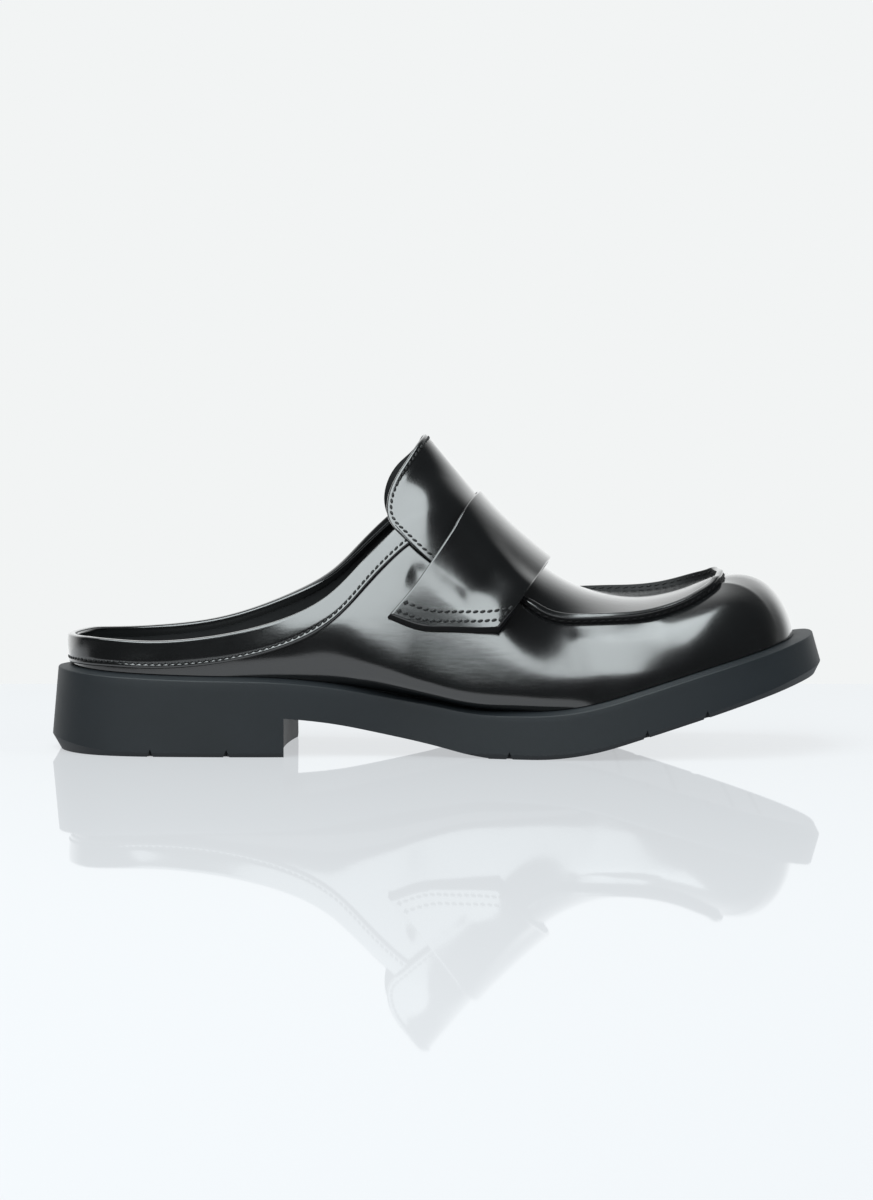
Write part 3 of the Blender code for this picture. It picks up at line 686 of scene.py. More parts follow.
def mouldedRubber(tree, place):
    # Injection-moulded rubber, spark-eroded mould: dark blue-grey, matt, a fine even stipple
    look = {
        "colors": ("#13181b", "#1b2126"), "bloomSize": 35 * mm, "roughness": (0.52, 0.62),
        "stippleSize": 0.45 * mm, "stippleDepth": 0.05 * mm,
    }
    bloom = noise(tree, place, look["bloomSize"], 4.0, 0.6)
    stipple = noise(tree, place, look["stippleSize"], 2.0, 0.6)
    return {
        "Base Color": tint(tree, bloom, look["colors"]),
        "Roughness": remap(tree, bloom, (0.3, 0.7), look["roughness"]),
        "Normal": relief(tree, stipple, look["stippleDepth"], 0.6),
    }


calf = newMaterial("polishedCalf", polishedCalf)
edgeInk = newMaterial("inkedLeatherEdge", inkedEdge)
lining = newMaterial("liningCalf", liningCalf)
thread = newMaterial("waxedThread", waxedThread)
rubber = newMaterial("mouldedRubber", mouldedRubber)
print("materials made")


# Stitches: a lockstitch row along a path, made by one node tree


stitchLook = {
    "Pitch": 2.6 * mm, "Length": 2.3 * mm, "Width": 1.1 * mm, "Height": 0.8 * mm,
    "Slant": math.radians(14.0),
}


def stitchTree():
    tree = bpy.data.node_groups.new("stitchRow", "GeometryNodeTree")

    def socket(label, kind, way="INPUT"):
        return tree.interface.new_socket(label, in_out=way, socket_type="NodeSocket" + kind).identifier

    def out(kind, output, inputs, **settings):
        return addNode(tree, kind, inputs, **settings).outputs[output]

    socket("Geometry", "Geometry")
    sockets = {label: socket(label, "Float") for label in stitchLook}
    sockets["Thread"] = socket("Thread", "Material")
    socket("Geometry", "Geometry", "OUTPUT")
    given = tree.nodes.new("NodeGroupInput").outputs
    curve = out("GeometryNodeMeshToCurve", "Curve", {"Mesh": given["Geometry"]})
    spacing = {"Curve": curve, "Length": given["Pitch"]}
    points = addNode(tree, "GeometryNodeCurveToPoints", spacing, mode="LENGTH").outputs
    up = out("GeometryNodeInputNamedAttribute", "Attribute", {"Name": "up"}, data_type="FLOAT_VECTOR")
    align = "FunctionNodeAlignRotationToVector"
    lengthwise = out(align, "Rotation", {"Vector": points["Tangent"]}, axis="X")
    upright = out(align, "Rotation", {"Rotation": lengthwise, "Vector": up}, axis="Z", pivot_axis="X")
    turn = {"Rotation": upright, "Rotate By": out("ShaderNodeCombineXYZ", "Vector", {"Z": given["Slant"]})}
    slanted = out("FunctionNodeRotateRotation", "Rotation", turn, rotation_space="LOCAL")
    sides = {"X": given["Length"], "Y": given["Width"], "Z": given["Height"]}
    size = out("ShaderNodeCombineXYZ", "Vector", sides)
    ball = out("GeometryNodeMeshUVSphere", "Mesh", {"Segments": 10, "Rings": 7, "Radius": 0.5})
    stitch = out("GeometryNodeTransform", "Geometry", {"Geometry": ball, "Scale": size})
    row = {"Points": points["Points"], "Instance": stitch, "Rotation": slanted}
    placed = out("GeometryNodeInstanceOnPoints", "Instances", row)
    real = out("GeometryNodeRealizeInstances", "Geometry", {"Geometry": placed})
    smooth = out("GeometryNodeSetShadeSmooth", "Geometry", {"Geometry": real})
    painted = out("GeometryNodeSetMaterial", "Geometry", {"Geometry": smooth, "Material": given["Thread"]})
    addNode(tree, "NodeGroupOutput", {"Geometry": painted})
    return tree, sockets


stitching, stitchSockets = stitchTree()


def sewRows(name, rows, slotName, **sizes):
    # rows are (points, normals); sizes are those that differ from stitchLook
    meshData = bmesh.new()
    layer = meshData.verts.layers.float_vector.new("up")
    for points, normals in rows:
        line = []
        for point, normal in zip(points, normals):
            vertex = meshData.verts.new(point)
            vertex[layer] = normal
            line.append(vertex)
        for first, second in zip(line, line[1:]):
            meshData.edges.new((first, second))
    path = meshObject(name + "Path", meshData)
    sewing = path.modifiers.new("sewing", "NODES")
    sewing.node_group = stitching
    for label, value in dict(stitchLook, Thread=thread, **sizes).items():
        sewing[stitchSockets[label]] = value
    piece = addObject(name, modifiedMesh(path))
    bpy.data.objects.remove(path, do_unlink=True)
    hand(piece, None)


# Sole


def easedStations(count):
    # stations from heel to toe, closer together near both ends
    share = np.linspace(0.0, 1.0, count)
    return toe * (share - 0.5 * np.sin(2.0 * math.pi * share) / (2.0 * math.pi))


def stationAt(along):
    return np.interp(along, [row[0] for row in stationRows], range(toe + 1))


def makeSole():
    look = {
        "rows": 340, "across": 12,
        "edgeInset": 0.75, "edgeRise": 1.3,  # shares of the tread's rounded edge
        "shankThickness": 13.6 * mm, "treadStart": 0.573,
        "breastAlong": 0.305, "breastHollow": 3.0 * mm, "breastSkew": 4.0 * mm,
        "grooves": (0.133, 0.231, 0.593, 0.768, 0.845), "grooveHalf": 1.8 * mm, "grooveStart": 1.5 * mm,
        # how far in from the sole's edge, and how deep the groove is there
        "grooveRun": ((-10 * mm, 3.0 * mm), (2.5 * mm, 3.0 * mm), (4.5 * mm, -1.2 * mm)),
        "channels": (0.05, 0.09, 0.175, 0.265, 0.63, 0.665, 0.70, 0.735, 0.805, 0.88, 0.915),
        "channelWidth": 2.2 * mm, "channelDepth": 1.2 * mm, "channelEdge": 8 * mm,
    }
    stations = easedStations(look["rows"])
    lip, fall = solePlan["lipRadius"], solePlan["shelfFall"]
    lateral = []
    medial = []
    for u, levels in ((stations, lateral), (loop - stations, medial)):
        _, normals = soleLoop(u, 0.0)
        edge = byDirection(normals, solePlan["edge"])
        flare = byDirection(normals, solePlan["flare"])
        rise = edge * look["edgeRise"]
        for turn in np.radians(np.linspace(90, 0, 7)):  # rounded edge of the tread
            inset = edge * look["edgeInset"] * math.sin(turn)
            levels.append(soleRing(u, inset, spring, rise * (1 - math.sin(turn))))
        bottom = soleRing(u, 0.0, spring, rise)
        top = soleRing(u, flare, seatLevel, -fall - lip)
        levels += [bottom + (top - bottom) * climb for climb in np.linspace(0.0, 1.0, 9)[1:]]
        for turn in np.radians((30, 60, 90)):  # lip round the shelf
            inset = flare + lip * (1 - math.cos(turn))
            levels.append(soleRing(u, inset, seatLevel, -fall - lip * (1 - math.sin(turn))))
        for part in (0.5, 1.0):  # shelf up to the upper
            inset = flare + lip + (seatInset(normals) - flare - lip) * part
            levels.append(soleRing(u, inset, seatLevel, -fall * (1 - part)))
    blend = np.linspace(0.0, 1.0, look["across"] + 2)[1:-1]
    over = [lateral[-1] + (medial[-1] - lateral[-1]) * b for b in blend]
    under = [medial[0] + (lateral[0] - medial[0]) * b for b in blend]
    meshData, _, _ = skin(np.stack(lateral + over + medial[::-1] + under, axis=1))
    sole = solid("unitSole", meshData)
    sole.data.materials.append(rubber)

    cutters = [archCutter(look), treadCutter(look)]
    for along in look["grooves"]:
        cutters += [grooveCutter(look, along, side) for side in (-1.0, 1.0)]
    for cutter in cutters:
        cut = sole.modifiers.new("cut", "BOOLEAN")
        cut.operation = "DIFFERENCE"
        cut.solver = "EXACT"
        cut.object = cutter
    mesh = modifiedMesh(sole)
    sole.modifiers.clear()
    sole.data = mesh
    for cutter in cutters:
        bpy.data.objects.remove(cutter, do_unlink=True)
    hand(smoothed(sole, 28), "unit_sole")


def archCutter(look):
    # the space under the shank, with the hollow heel breast at its back
    breast, start = alongToX(look["breastAlong"]), alongToX(look["treadStart"])
    x = np.linspace(0.0, 1.0, 40)
    heelHalf = stationRows[6][1] * ballWidth
    shank, fall, below = look["shankThickness"], solePlan["shelfFall"], -4 * mm
    sections = []
    for y in np.linspace(-0.6, 0.6, 31) * ballWidth:
        side = np.clip(y / heelHalf, -1.3, 1.3)
        hollow = look["breastHollow"] * (1.0 - min(side * side, 1.0))
        rear = breast - hollow + look["breastSkew"] * 0.5 * (side + 1.0)
        along = rear + (start - rear) * x
        thickness = shank + (lastShape["soleThickness"] - fall - shank) * x**2
        under = seatLevel(along) - fall - thickness
        under[-1] = below
        sections.append([(a, y, z) for a, z in zip(along, under)] + [(rear, y, below)])
    meshData, _, _ = skin(sections, caps=(0, -1))
    return solid("cutter", meshData)


def grooveCutter(look, along, side):
    # V notch in the tread's edge, tapering out under the sole
    x = alongToX(along)
    floor = spring(x)
    half, low = look["grooveHalf"], floor - look["grooveStart"]
    station = stationAt(along)
    edge = abs(outlineCurve(station if side < 0 else loop - station)[0, 1])
    sections = []
    for back, deep in look["grooveRun"]:
        y = side * (edge - back)
        sections.append([(x - half, y, low), (x + half, y, low), (x, y, floor + deep)])
    meshData, _, _ = skin(sections, caps=(0, -1))
    return solid("cutter", meshData)


def treadCutter(look):
    # shallow channels across the tread, closed before its edges
    meshData = bmesh.new()
    half, depth = 0.5 * look["channelWidth"], look["channelDepth"]
    for along in look["channels"]:
        x = alongToX(along)
        station = stationAt(along)
        edges = [outlineCurve(place)[0, 1] for place in (station, loop - station)]
        rings = []
        for y in (edges[0] + look["channelEdge"], edges[1] - look["channelEdge"]):
            ring = []
            for dx, deep in ((-half, -depth), (half, -depth), (0.6 * half, depth), (-0.6 * half, depth)):
                ring.append(meshData.verts.new((x + dx, y, spring(x + dx) + deep)))
            rings.append(ring)
            meshData.faces.new(ring)
        near, far = rings
        for place in range(4):
            after = (place + 1) % 4
            meshData.faces.new((near[place], near[after], far[after], far[place]))
    return solid("cutter", meshData)


makeSole()
print("sole made")


# Upper


def creaseDepth(points, side, creases):
    # how far the creases move the leather in or out at points on that side of the shoe
    depth = np.zeros(len(points))
    onSide = points[:, 1] * side > 0
    plan = points[:, (0, 2)]
    for start, end, width, height in creases:
        start, end = np.array(start) * mm, np.array(end) * mm
        way = end - start
        share = np.clip(((plan - start) @ way) / (way @ way), 0.0, 1.0)
        distance = np.linalg.norm(plan - (start + share[:, None] * way), axis=1)
        fade = np.sin(math.pi * (0.15 + 0.7 * share))
        depth += np.where(onSide, height * mm * fade * np.exp(-((distance / (width * mm)) ** 2)), 0.0)
    return depth


upperLook = {
    "columns": 552, "rows": 60, "innerRows": 20,
    # start and end as (x, z), half width, height out of the leather, all in mm
    "lateralCreases": (
        ((-11, 71), (-2, 68), 5.0, -0.7),
        ((55, 48), (84, 48.5), 3.0, -0.8),
        ((46, 50.5), (62, 48.5), 1.1, -0.10),
        ((48, 48), (66, 46), 1.0, -0.09),
    ),
    "medialCreases": (
        ((-8, 72), (4, 64), 5.0, -0.5),
        ((48, 48), (76, 50), 4.0, -0.25),
    ),
}


def makeUpper():
    u = np.arange(upperLook["columns"]) * (loop / upperLook["columns"])
    wall = leather["wall"]
    outer = []
    for v in np.linspace(0.0, 1.0, upperLook["rows"] + 1):
        points = wallSurface(u, v)
        depth = creaseDepth(points, -1, upperLook["lateralCreases"])
        depth += creaseDepth(points, 1, upperLook["medialCreases"])
        outer.append(points + wallNormal(u, v) * (depth * (1.0 - v**8))[:, None])
    inner = [
        wallSurface(u, v) - wallNormal(u, v) * wall
        for v in np.linspace(0.0, 1.0, upperLook["innerRows"] + 1)
    ]
    top = topLine(u)
    normal = wallNormal(u, 1.0)
    into = arrival(u)
    width = lipWidth(u)[:, None]
    height = (leather["rimHeight"] * rimShare(u))[:, None]
    # profile of the pinched rim: shares of its thickness and of its height
    rimProfile = (
        (0.00, 0.15), (0.00, 0.40), (0.00, 0.65), (0.00, 0.84), (0.03, 0.92), (0.10, 0.97), (0.22, 0.995),
        (0.40, 1.01), (0.60, 1.01), (0.78, 0.995), (0.90, 0.97), (0.97, 0.92),
        (1.00, 0.84), (1.00, 0.65), (1.00, 0.35), (1.00, 0.05),
    )
    rim = [top + into * width * a + normal * height * b for a, b in rimProfile]
    foot = [top - normal * wall * 0.5 + into * width, top - normal * wall + into * width]
    profile = outer + rim + foot + inner[::-1]
    meshData, _, places = skin(np.stack(profile, axis=1), ringRows=True)
    rimFrom = len(outer) - 1
    rimTo = rimFrom + len(rimProfile)
    for faceItem, (_, column) in places.items():
        if rimTo - 4 <= column < rimTo or rimFrom <= column < rimFrom + 3:
            faceItem.material_index = 1
        elif column >= rimTo:
            faceItem.material_index = 2
    hand(finishMesh("upperLeather", meshData, [calf, edgeInk, lining], 50), "upper")


makeUpper()


def makeApron():
    rows = 190
    stations = np.linspace(apronRear, toe, rows)
    outer = []
    inner = []
    t = np.linspace(-1.0, 1.0, 91)
    for s in stations:
        rowS = np.full(len(t), s)
        if s >= toe - 1e-9:
            points = np.repeat(archStart(float(toe)), len(t), axis=0)
            normal = np.repeat(wallNormal(float(toe), 1.0), len(t), axis=0)
        else:
            points = archSurface(rowS, t)
            edgeU = np.where(t < 0, s, loop - s)
            edge = smoothStep(np.abs(t), 0.55, 1.0)[:, None]
            normal = unit(archNormal(rowS, t) * (1.0 - edge) + wallNormal(edgeU, 1.0) * edge)
        outer.append(points)
        inner.append(points - normal * leather["apron"])
    meshData, _, _ = skin(sheetSections(outer, inner), caps=(0,))
    hand(finishMesh("apronPlug", meshData, [calf], 50), "apron")


makeApron()
print("upper and apron made")


# Collar band: lies on the wall, rolls over its top edge and ends inside on the lining


def makeBand():
    look = {
        "columns": 620, "steps": 120,
        "seam": 0.19, "seamDepth": 0.86,  # the stitch line's place in its height, and what is left there
        "play": 0.6 * mm, "flatness": 0.42,  # of the roll over the top edge
        "hem": ((0.3, 0.6), (1.2, 0.6), (2.4, 0.6), (3.2, 0.0)),  # how far down inside, how far off, in mm
    }
    u = np.mod(np.linspace(-bandEnd, bandEnd, look["columns"]), loop)
    v = np.linspace(0.0, 1.0, look["steps"])
    lows = np.zeros(len(u))
    for index, place in enumerate(u):
        walked = wayAlong(wallSurface(np.full(len(v), place), v))
        lows[index] = np.interp(max(walked[-1] - leather["bandHeight"], 0.0), walked, v)
    gap, thick, wall = lastShape["gap"], leather["band"], leather["wall"]
    seam = look["seam"]
    # climb as a share of the band's height, and the surface's distance in shares of its thickness
    outside = [(0.0, 0.0), (0.0, 0.35), (0.006, 0.7), (0.02, 0.92), (0.05, 1.04), (seam - 0.08, 1.06)]
    outside += [(seam - 0.04, 0.98), (seam, look["seamDepth"]), (seam + 0.04, 0.95), (seam + 0.08, 1.0)]
    outside += [(climb, 1.0) for climb in np.linspace(0.34, 1.0, 12)]
    profile = []
    for climb, share in outside:
        height = lows + (1.0 - lows) * climb
        profile.append(wallSurface(u, height) + wallNormal(u, height) * (gap * (share > 0) + thick * share))
    top = topLine(u)
    normal = wallNormal(u, 1.0)
    upWay = unit(wallSurface(u, 1.0) - wallSurface(u, 0.985))
    middle = top + normal * 0.5 * (gap + thick - wall - look["play"])
    radius = 0.5 * (gap + thick + wall + look["play"])
    for turn in np.radians(np.linspace(12, 168, 12)):
        over = upWay * look["flatness"] * math.sin(turn)
        profile.append(middle + (normal * math.cos(turn) + over) * radius)
    for drop, off in look["hem"]:
        profile.append(top - upWay * drop * mm - normal * (wall + off * mm))
    meshData, _, _ = skin(np.stack(profile, axis=1), caps=(0, -1))
    hand(finishMesh("collarBand", meshData, [calf], 60), "collar_band")
    height = lows + (1.0 - lows) * seam
    normal = wallNormal(u, height)
    seat = wallSurface(u, height) + normal * (gap + thick * look["seamDepth"] + 0.1 * mm)
    sewRows("collarStitches", [(seat, normal)], "collar_band")


makeBand()
print("collar band made")


# Tongue and strap: flaps laid on the sheet


strapRows = (
    # rear across, rear along, front across, front along, bow, in shares of ball width and length
    (-0.822, 0.438, -0.580, 0.579, -0.034),
    (-0.724, 0.455, -0.520, 0.587, -0.012),
    (-0.620, 0.473, -0.455, 0.596, 0.000),
    (-0.525, 0.488, -0.387, 0.605, 0.000),
    (-0.430, 0.503, -0.304, 0.617, 0.000),
    (-0.290, 0.522, -0.202, 0.629, 0.000),
    (-0.145, 0.537, -0.100, 0.637, 0.000),
    (0.000, 0.543, 0.000, 0.640, 0.000),
    (0.145, 0.536, 0.100, 0.630, 0.000),
    (0.290, 0.520, 0.202, 0.616, 0.000),
    (0.430, 0.500, 0.304, 0.601, 0.000),
    (0.525, 0.485, 0.387, 0.591, 0.000),
    (0.620, 0.469, 0.455, 0.585, 0.000),
    (0.715, 0.453, 0.520, 0.579, 0.012),
    (0.805, 0.437, 0.580, 0.571, 0.034),
)

tongueRows = (
    # across, rear along, front along
    (-0.500, 0.512, 0.534), (-0.487, 0.483, 0.540), (-0.467, 0.459, 0.545), (-0.442, 0.443, 0.550),
    (-0.411, 0.437, 0.554), (-0.366, 0.437, 0.558), (-0.315, 0.441, 0.562), (-0.243, 0.450, 0.566),
    (-0.168, 0.461, 0.570), (-0.080, 0.472, 0.573), (0.000, 0.477, 0.574), (0.080, 0.467, 0.573),
    (0.155, 0.451, 0.570), (0.232, 0.438, 0.564), (0.300, 0.432, 0.557), (0.350, 0.434, 0.551),
    (0.395, 0.444, 0.545), (0.425, 0.462, 0.540), (0.445, 0.487, 0.535), (0.455, 0.512, 0.530),
)


def edgeShares(length, fine):
    # shares of a run of that length, closer together near both ends
    near = np.array(fine) * mm / length
    middle = np.linspace(near[-1], 1.0 - near[-1], max(int(length / (1.0 * mm)), 8))
    return np.concatenate([near[:-1], middle, 1.0 - near[:-1][::-1]])


def roll(distance, radius):
    # how much of the thickness is left at a distance from a rounded edge
    inside = np.clip(distance / radius, 0.0, 1.0)
    return np.sqrt(np.clip(1.0 - (1.0 - inside) ** 2, 0.0, 1.0))


def flapPoints(edges, places, shares):
    # x and way round of each place and share of a flap
    rearAcross, rearAlong, frontAcross, frontAlong, bow = edges(places).T[:, :, None]
    s = shares[None, :]
    across = (rearAcross + (frontAcross - rearAcross) * s + 4.0 * bow * s * (1.0 - s)) * ballWidth
    x = alongToX(rearAlong) + (alongToX(frontAlong) - alongToX(rearAlong)) * s
    return x, across


def onSheet(x, across):
    return readSheet(sheetPoints, x, across), unit(readSheet(sheetNormals, x, across))


def flapMesh(name, rows, thickness, layersAt, look, materials):
    # layersAt gives how far the underside lies off the sheet, and the relief of the face
    edges = openCurve(range(len(rows)), rows)
    fine = (0.0, 0.08, 0.22, 0.42, 0.7, 1.05, 1.4, 1.75, 2.1, 2.8)
    last = len(rows) - 1
    length, width = look["length"], look["width"]
    places = edgeShares(length, fine) * last
    shares = edgeShares(width, fine)
    x, across = flapPoints(edges, places, shares)
    base, normal = onSheet(x, across)
    # distances to the four edges, along the leather
    fromRear = shares[None, :] * width
    fromFront = (1.0 - shares[None, :]) * width + look["hiddenFront"]
    fromStart = places[:, None] / last * length
    fromEnd = (1.0 - places[:, None] / last) * length
    toEnd = np.minimum(fromStart, fromEnd)
    distance = np.minimum(np.minimum(fromRear, fromFront), toEnd)
    bevel = np.clip(toEnd / look["endBevel"], 0.0, 1.0)
    offsets, relief = layersAt(x, across, distance)
    left = thickness * (0.25 + 0.75 * np.minimum(roll(distance, look["edgeRadius"]), bevel))
    raised = left + relief * np.where(distance < fromStart, 1.0, bevel)
    outer = base + normal * (offsets + raised)[..., None]
    inner = base + normal * offsets[..., None]
    meshData, grid, facePlaces = skin(sheetSections(outer, inner))
    count = len(shares)
    cutTo = look["endBevel"] + 0.1 * mm
    for faceItem, (row, column) in facePlaces.items():
        if column >= count - 1 or max(toEnd[row, 0], toEnd[row + 1, 0]) < cutTo:
            faceItem.material_index = 1
    for line in (grid[0], grid[-1]):
        for face, under in zip(range(count - 1), range(2 * count - 1, count, -1)):
            corners = list(dict.fromkeys((line[face], line[face + 1], line[under - 1], line[under])))
            if len(corners) > 2:
                meshData.faces.new(corners).material_index = 1
    return finishMesh(name, meshData, materials, 50), edges


def overBand():
    return 2.0 * lastShape["gap"] + leather["band"]


tongueLook = {
    "length": 128 * mm, "width": 36 * mm, "edgeRadius": 0.9 * mm, "endBevel": 0.1 * mm,
    "hiddenFront": 1.0,  # its front edge is under the strap and isn't rounded
    "seamInset": 1.9 * mm, "seamDepth": 0.12 * mm, "seamWidth": 0.6 * mm,
}


def tongueLayers(x, across, distance):
    fromSeam = (distance - tongueLook["seamInset"]) / tongueLook["seamWidth"]
    return np.full(x.shape, overBand()), -tongueLook["seamDepth"] * np.exp(-(fromSeam**2))


def makeTongue():
    rows = [(across, rear, across, front, 0.0) for across, rear, front in tongueRows]
    thick = leather["tongue"]
    tongue, edges = flapMesh("broadTongue", rows, thick, tongueLayers, tongueLook, [calf, lining])
    places = np.linspace(0.0, len(rows) - 1.0, 400)
    base, normal = (grid[:, 0] for grid in onSheet(*flapPoints(edges, places, np.zeros(1))))
    rear = base + normal * (overBand() + thick - 0.05 * mm)
    beside = unit(np.cross(unit(np.gradient(rear, axis=0)), normal))
    keep = slice(8, -8)
    seam = rear + beside * tongueLook["seamInset"]
    sewRows("tongueStitches", [(seam[keep], normal[keep])], "tongue")
    hand(tongue, "tongue")


makeTongue()

strapLook = {
    "length": 166 * mm, "width": 44 * mm, "edgeRadius": 0.7 * mm, "hiddenFront": 0.0,
    "endBevel": 1.9 * mm,  # pared and inked ends
    "clear": 0.8 * mm,  # how far beside the tongue it starts to come down
    "bridge": 14 * mm,  # over which its underside comes down to the wall
    "sewn": (0.50, 0.62), "sewnOver": 6 * mm,  # from there on, in ball widths, it comes down sooner
    "padding": 2.2 * mm,  # how much thicker it is at its sewn ends
    "fall": 36 * mm,  # over which its face comes down
    "frontLift": 2.2 * mm,  # how far the face stands off towards its front
    "liftAlong": (-12 * mm, 30 * mm), "liftAway": 12 * mm, "liftAcross": (0.25, 0.45),
    "seamRise": 1.6 * mm,  # the moccasin seam under it lifts it in a soft ridge
    "seamWidth": 6.5 * mm, "seamAlong": (2 * mm, 22 * mm),
}


def tongueOutline():
    rows = np.array(tongueRows)
    places = np.linspace(0, len(rows) - 1, 160)
    across, rear, front = openCurve(range(len(rows)), rows)(places).T
    rearEdge = np.column_stack([alongToX(rear), across * ballWidth])
    frontEdge = np.column_stack([alongToX(front), across * ballWidth])
    return np.vstack([rearEdge, frontEdge[::-1]])


def outsideOf(outline, x, across):
    # distance from the outline to points in front of it or beside it, 0 inside
    points = np.stack([x, across], axis=-1).reshape(-1, 2)
    nearest = np.full(len(points), 1e9)
    inside = np.zeros(len(points), bool)
    for start, end in zip(outline, np.roll(outline, -1, axis=0)):
        way = end - start
        share = np.clip(((points - start) @ way) / max(way @ way, 1e-14), 0.0, 1.0)
        nearest = np.minimum(nearest, np.linalg.norm(points - (start + share[:, None] * way), axis=1))
        crosses = (start[1] > points[:, 1]) != (end[1] > points[:, 1])
        if way[1] != 0.0:
            inside ^= crosses & (points[:, 0] < start[0] + (points[:, 1] - start[1]) / way[1] * way[0])
    return np.where(inside, 0.0, nearest).reshape(x.shape)


tongueEdge = tongueOutline()


def strapLayers(x, across, distance=None):
    # how far its underside lies off the sheet, and what pads its face
    look, gap = strapLook, lastShape["gap"]
    over = overBand() + gap + leather["tongue"]
    away = outsideOf(tongueEdge, x, across) - look["clear"]
    widths = np.abs(across) / ballWidth
    end = smoothStep(widths, *look["sewn"]) * smoothStep(away, 0.0, look["sewnOver"])
    under = over + (gap - over) * np.maximum(smoothStep(away, 0.0, look["bridge"]), end)
    down = np.clip(away / look["fall"], 0.0, 1.0)
    front = smoothStep(x, *look["liftAlong"]) * smoothStep(away, 0.0, look["liftAway"])
    front *= look["frontLift"] * smoothStep(widths, *look["liftAcross"])
    face = over + (gap + look["padding"] - over) * down + front
    lateral, medial = (np.interp(x, *np.array(sheetSeams[side]).T) for side in (-1.0, 1.0))
    fromSeam = (np.abs(across) - np.where(across < 0, lateral, medial)) / look["seamWidth"]
    lifted = look["seamRise"] * np.exp(-(fromSeam**2)) * smoothStep(x, *look["seamAlong"])
    return under + lifted, np.maximum(face - under, 0.0)


def boxStitch(edges, side):
    # rectangle of stitches at one end of the strap, set in from its edges
    look = {"inset": 3.6 * mm, "deep": 4.1 * mm, "shares": (0.05, 0.965)}
    last = 0.0 if side < 0 else len(strapRows) - 1.0

    def spot(share, distance):
        share = np.array([share])
        ends, _ = onSheet(*flapPoints(edges, np.array([last, last - 0.5 * side]), share))
        reach = 0.5 * distance / np.linalg.norm(ends[1, 0] - ends[0, 0])
        x, across = flapPoints(edges, np.array([abs(last - reach)]), share)
        point, normal = onSheet(x, across)
        lift = sum(strapLayers(x, across)) + leather["strap"]
        return (point + normal * lift[..., None])[0, 0], normal[0, 0]

    rear, front = look["shares"]
    low, high = look["inset"], look["inset"] + look["deep"]
    corners = [(rear, low), (front, low), (front, high), (rear, high)]
    rows = []
    for first, second in zip(corners, corners[1:] + corners[:1]):
        shares = np.linspace(first[0], second[0], 40)
        distances = np.linspace(first[1], second[1], 40)
        rows.append(tuple(zip(*map(spot, shares, distances))))
    return rows


def makeStrap():
    look, thick = strapLook, leather["strap"]
    strap, edges = flapMesh("saddleStrap", strapRows, thick, strapLayers, look, [calf, edgeInk])
    rows = boxStitch(edges, -1) + boxStitch(edges, 1)
    sewRows("strapStitches", rows, "saddle_strap", Width=1.25 * mm, Height=0.9 * mm)
    hand(strap, "saddle_strap")


makeStrap()
print("tongue and strap made")


# Seam stitches of the moccasin rim, outside at its foot and inside under its top


def makeRimStitches():
    look = {
        "start": 0.35, "outside": 0.30, "inside": 0.45, "off": 0.1 * mm,  # heights as shares of the rim's
        "sizes": {
            "Pitch": 3.1 * mm, "Length": 2.2 * mm, "Width": 0.55 * mm, "Height": 0.4 * mm,
            "Slant": math.radians(12.0),
        },
    }
    start = rimStations[0] + look["start"]
    u = np.linspace(start, loop - start, 900)
    top, into = topLine(u), arrival(u)
    rim = wallNormal(u, 1.0) * (leather["rimHeight"] * rimShare(u))[:, None]
    outside = top - into * look["off"] + rim * look["outside"]
    inside = top + into * (lipWidth(u)[:, None] + look["off"]) + rim * look["inside"]
    sewRows("rimStitches", [(outside, -into), (inside, into)], "upper", **look["sizes"])


makeRimStitches()


def makeInsole():
    look = {"rows": 150, "thickness": 3.0 * mm, "play": 0.3 * mm, "cup": 1.2 * mm, "cupWidth": 7 * mm}
    stations = easedStations(look["rows"])
    blend = np.linspace(0.0, 1.0, 41)
    edges = []
    for u in (stations, loop - stations):
        _, normals = soleLoop(u, 0.0)
        edges.append(soleLoop(u, seatInset(normals) + leather["wall"] + look["play"])[0])
    outer = []
    inner = []
    for left, right in zip(*edges):
        row = left * (1 - blend[:, None]) + right * blend[:, None]
        distance = np.minimum(blend, 1.0 - blend) * np.linalg.norm(right - left)
        low = seatLevel(row[:, 0]) + lastShape["gap"]
        cup = look["cup"] * np.exp(-((distance / look["cupWidth"]) ** 2))
        outer.append(np.column_stack([row, low + look["thickness"] + cup]))
        inner.append(np.column_stack([row, low]))
    meshData, _, _ = skin(sheetSections(outer, inner))
    hand(finishMesh("footbed", meshData, [lining], 50), "insole")


makeInsole()
print("insole made")


# Studio


studio = {
    "paper": "#f2f4f4", "lightColor": (0.91, 0.985, 1.0),
    "floorBack": 0.26, "floorReach": 3.0,
    # painted light: the floor glows by itself, brighter near the camera than far back, standing in for the
    # key light's fall-off
    "floorGlow": "#f1f4f7", "glowFrom": (-0.9, 0.22), "glowTo": (0.70, 0.51),  # near to far
    "floorGloss": {"Base Color": (0.13, 0.133, 0.138, 1.0), "Roughness": 0.02, "IOR": 1.055},
    "roomFrom": (0.25, 0.85), "roomTo": (0.04, 1.15),  # dark room, white paper behind
    "key": {
        "at": (-0.415, -0.575, 1.085), "target": (-0.415, -0.171, 0.062), "size": (1.07, 1.99), "power": 31,
    },
    "fill": {"at": (1.4, -0.35, 0.6), "target": (0.0, 0.0, 0.03), "size": (0.8, 0.8), "power": 15},
    "cameraAt": (0.0, -2.0, 0.214), "lookAt": (0.0, 0.0, 0.0575), "lens": 154.07,
}


def bareTree(owner, coordinates):
    # an empty node tree, and the depth coordinate in it
    owner.use_nodes = True
    tree = owner.node_tree
    tree.nodes.clear()
    place = addNode(tree, "ShaderNodeTexCoord").outputs[coordinates]
    return tree, addNode(tree, "ShaderNodeSeparateXYZ", {"Vector": place}).outputs["Y"]


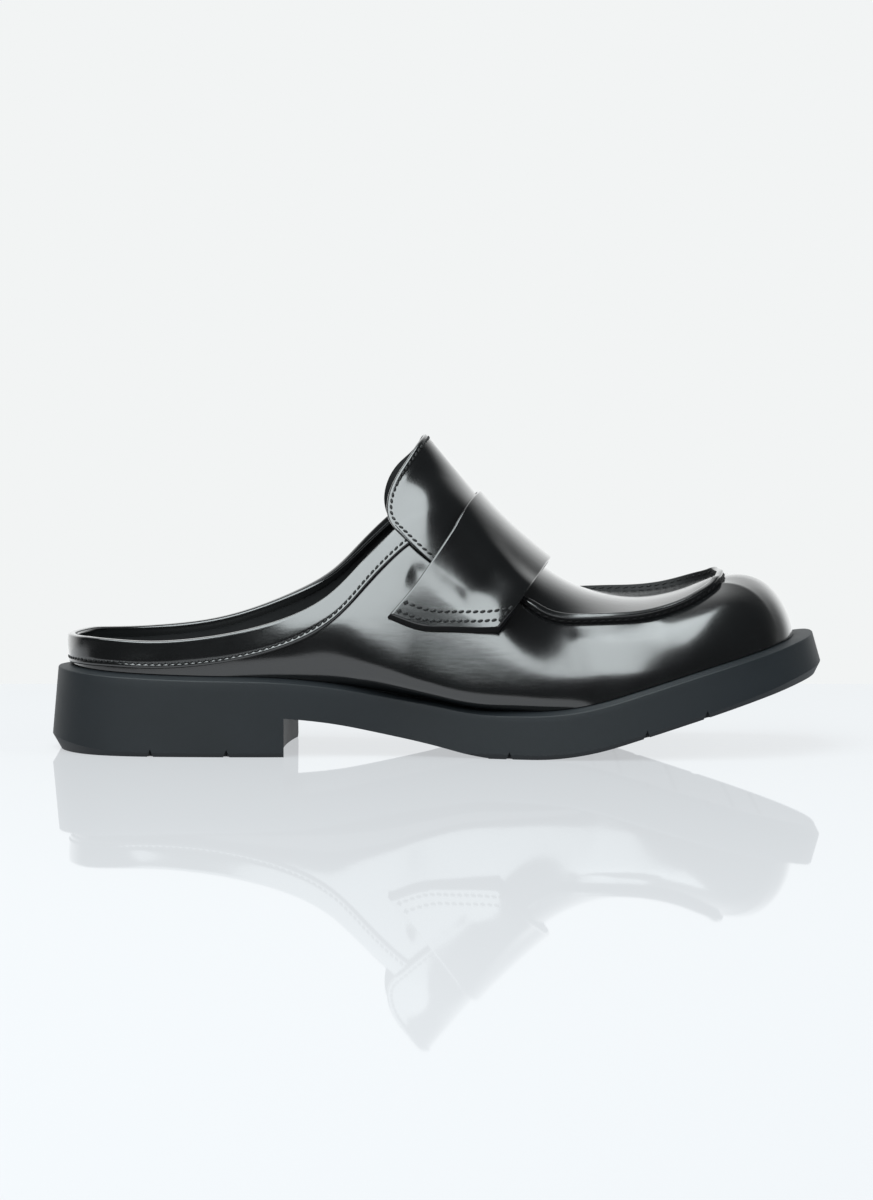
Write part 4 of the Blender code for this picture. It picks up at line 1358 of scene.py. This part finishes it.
def makeFloor():
    meshData = bmesh.new()
    reach, back = studio["floorReach"], studio["floorBack"]
    corners = [(-reach, -reach, 0), (reach, -reach, 0), (reach, back, 0), (-reach, back, 0)]
    meshData.faces.new([meshData.verts.new(corner) for corner in corners])
    floor = meshObject("studioFloor", meshData)
    material = bpy.data.materials.new("glossyFloorPaintedGlow")
    tree, depth = bareTree(material, "Object")
    # painted light: the glow's strength rises towards the camera along the floor's depth; the dark glossy
    # body under it only adds reflections and faint contact shade
    strength = remap(tree, depth, studio["glowFrom"], studio["glowTo"])
    color = hexColor(studio["floorGlow"])
    glow = addNode(tree, "ShaderNodeEmission", {"Color": color, "Strength": strength}).outputs[0]
    gloss = addNode(tree, "ShaderNodeBsdfPrincipled", studio["floorGloss"]).outputs[0]
    body = addNode(tree, "ShaderNodeAddShader", {0: gloss, 1: glow}).outputs[0]
    addNode(tree, "ShaderNodeOutputMaterial", {"Surface": body})
    floor.data.materials.append(material)


def softBox(name, box):
    light = bpy.data.lights.new(name, "AREA")
    light.shape = "RECTANGLE"
    light.size, light.size_y = box["size"]
    light.energy = box["power"]
    light.color = studio["lightColor"]
    lamp = addObject(name, light)
    lamp.location = box["at"]
    x, y, z = np.subtract(box["target"], box["at"])
    lamp.rotation_euler = (math.atan2(math.hypot(x, y), -z), 0.0, math.atan2(-x, y))
    lamp.visible_camera = False
    return lamp


def makeWorld():
    # a dark room that turns to white paper behind; the camera itself sees only paper
    world = bpy.data.worlds.new("paperWorld")
    bpy.context.scene.world = world
    tree, depth = bareTree(world, "Generated")
    strength = remap(tree, depth, studio["roomFrom"], studio["roomTo"], interpolation_type="SMOOTHSTEP")
    paper = hexColor(studio["paper"])
    room = addNode(tree, "ShaderNodeBackground", {"Color": paper, "Strength": strength}).outputs[0]
    seen = addNode(tree, "ShaderNodeBackground", {"Color": paper, "Strength": 1.0}).outputs[0]
    ray = addNode(tree, "ShaderNodeLightPath").outputs["Is Camera Ray"]
    mix = addNode(tree, "ShaderNodeMixShader", {0: ray, 1: room, 2: seen}).outputs[0]
    addNode(tree, "ShaderNodeOutputWorld", {"Surface": mix})


def makeStudio():
    makeFloor()
    softBox("keyBox", studio["key"])
    softBox("fillBox", studio["fill"]).visible_glossy = False
    makeWorld()


def makeCamera():
    data = bpy.data.cameras.new("camera")
    data.lens = studio["lens"]
    data.sensor_width = 36.0
    data.sensor_fit = "AUTO"
    data.clip_start, data.clip_end = 0.05, 50.0
    camera = addObject("camera", data)
    camera.location = studio["cameraAt"]
    _, y, z = np.subtract(studio["lookAt"], studio["cameraAt"])
    camera.rotation_euler = (math.pi / 2 + math.atan2(z, y), 0.0, 0.0)
    bpy.context.scene.camera = camera


makeStudio()
makeCamera()
bpy.context.scene.view_settings.view_transform = "Standard"  # the photo's contrast, not a film curve
print("studio ready")
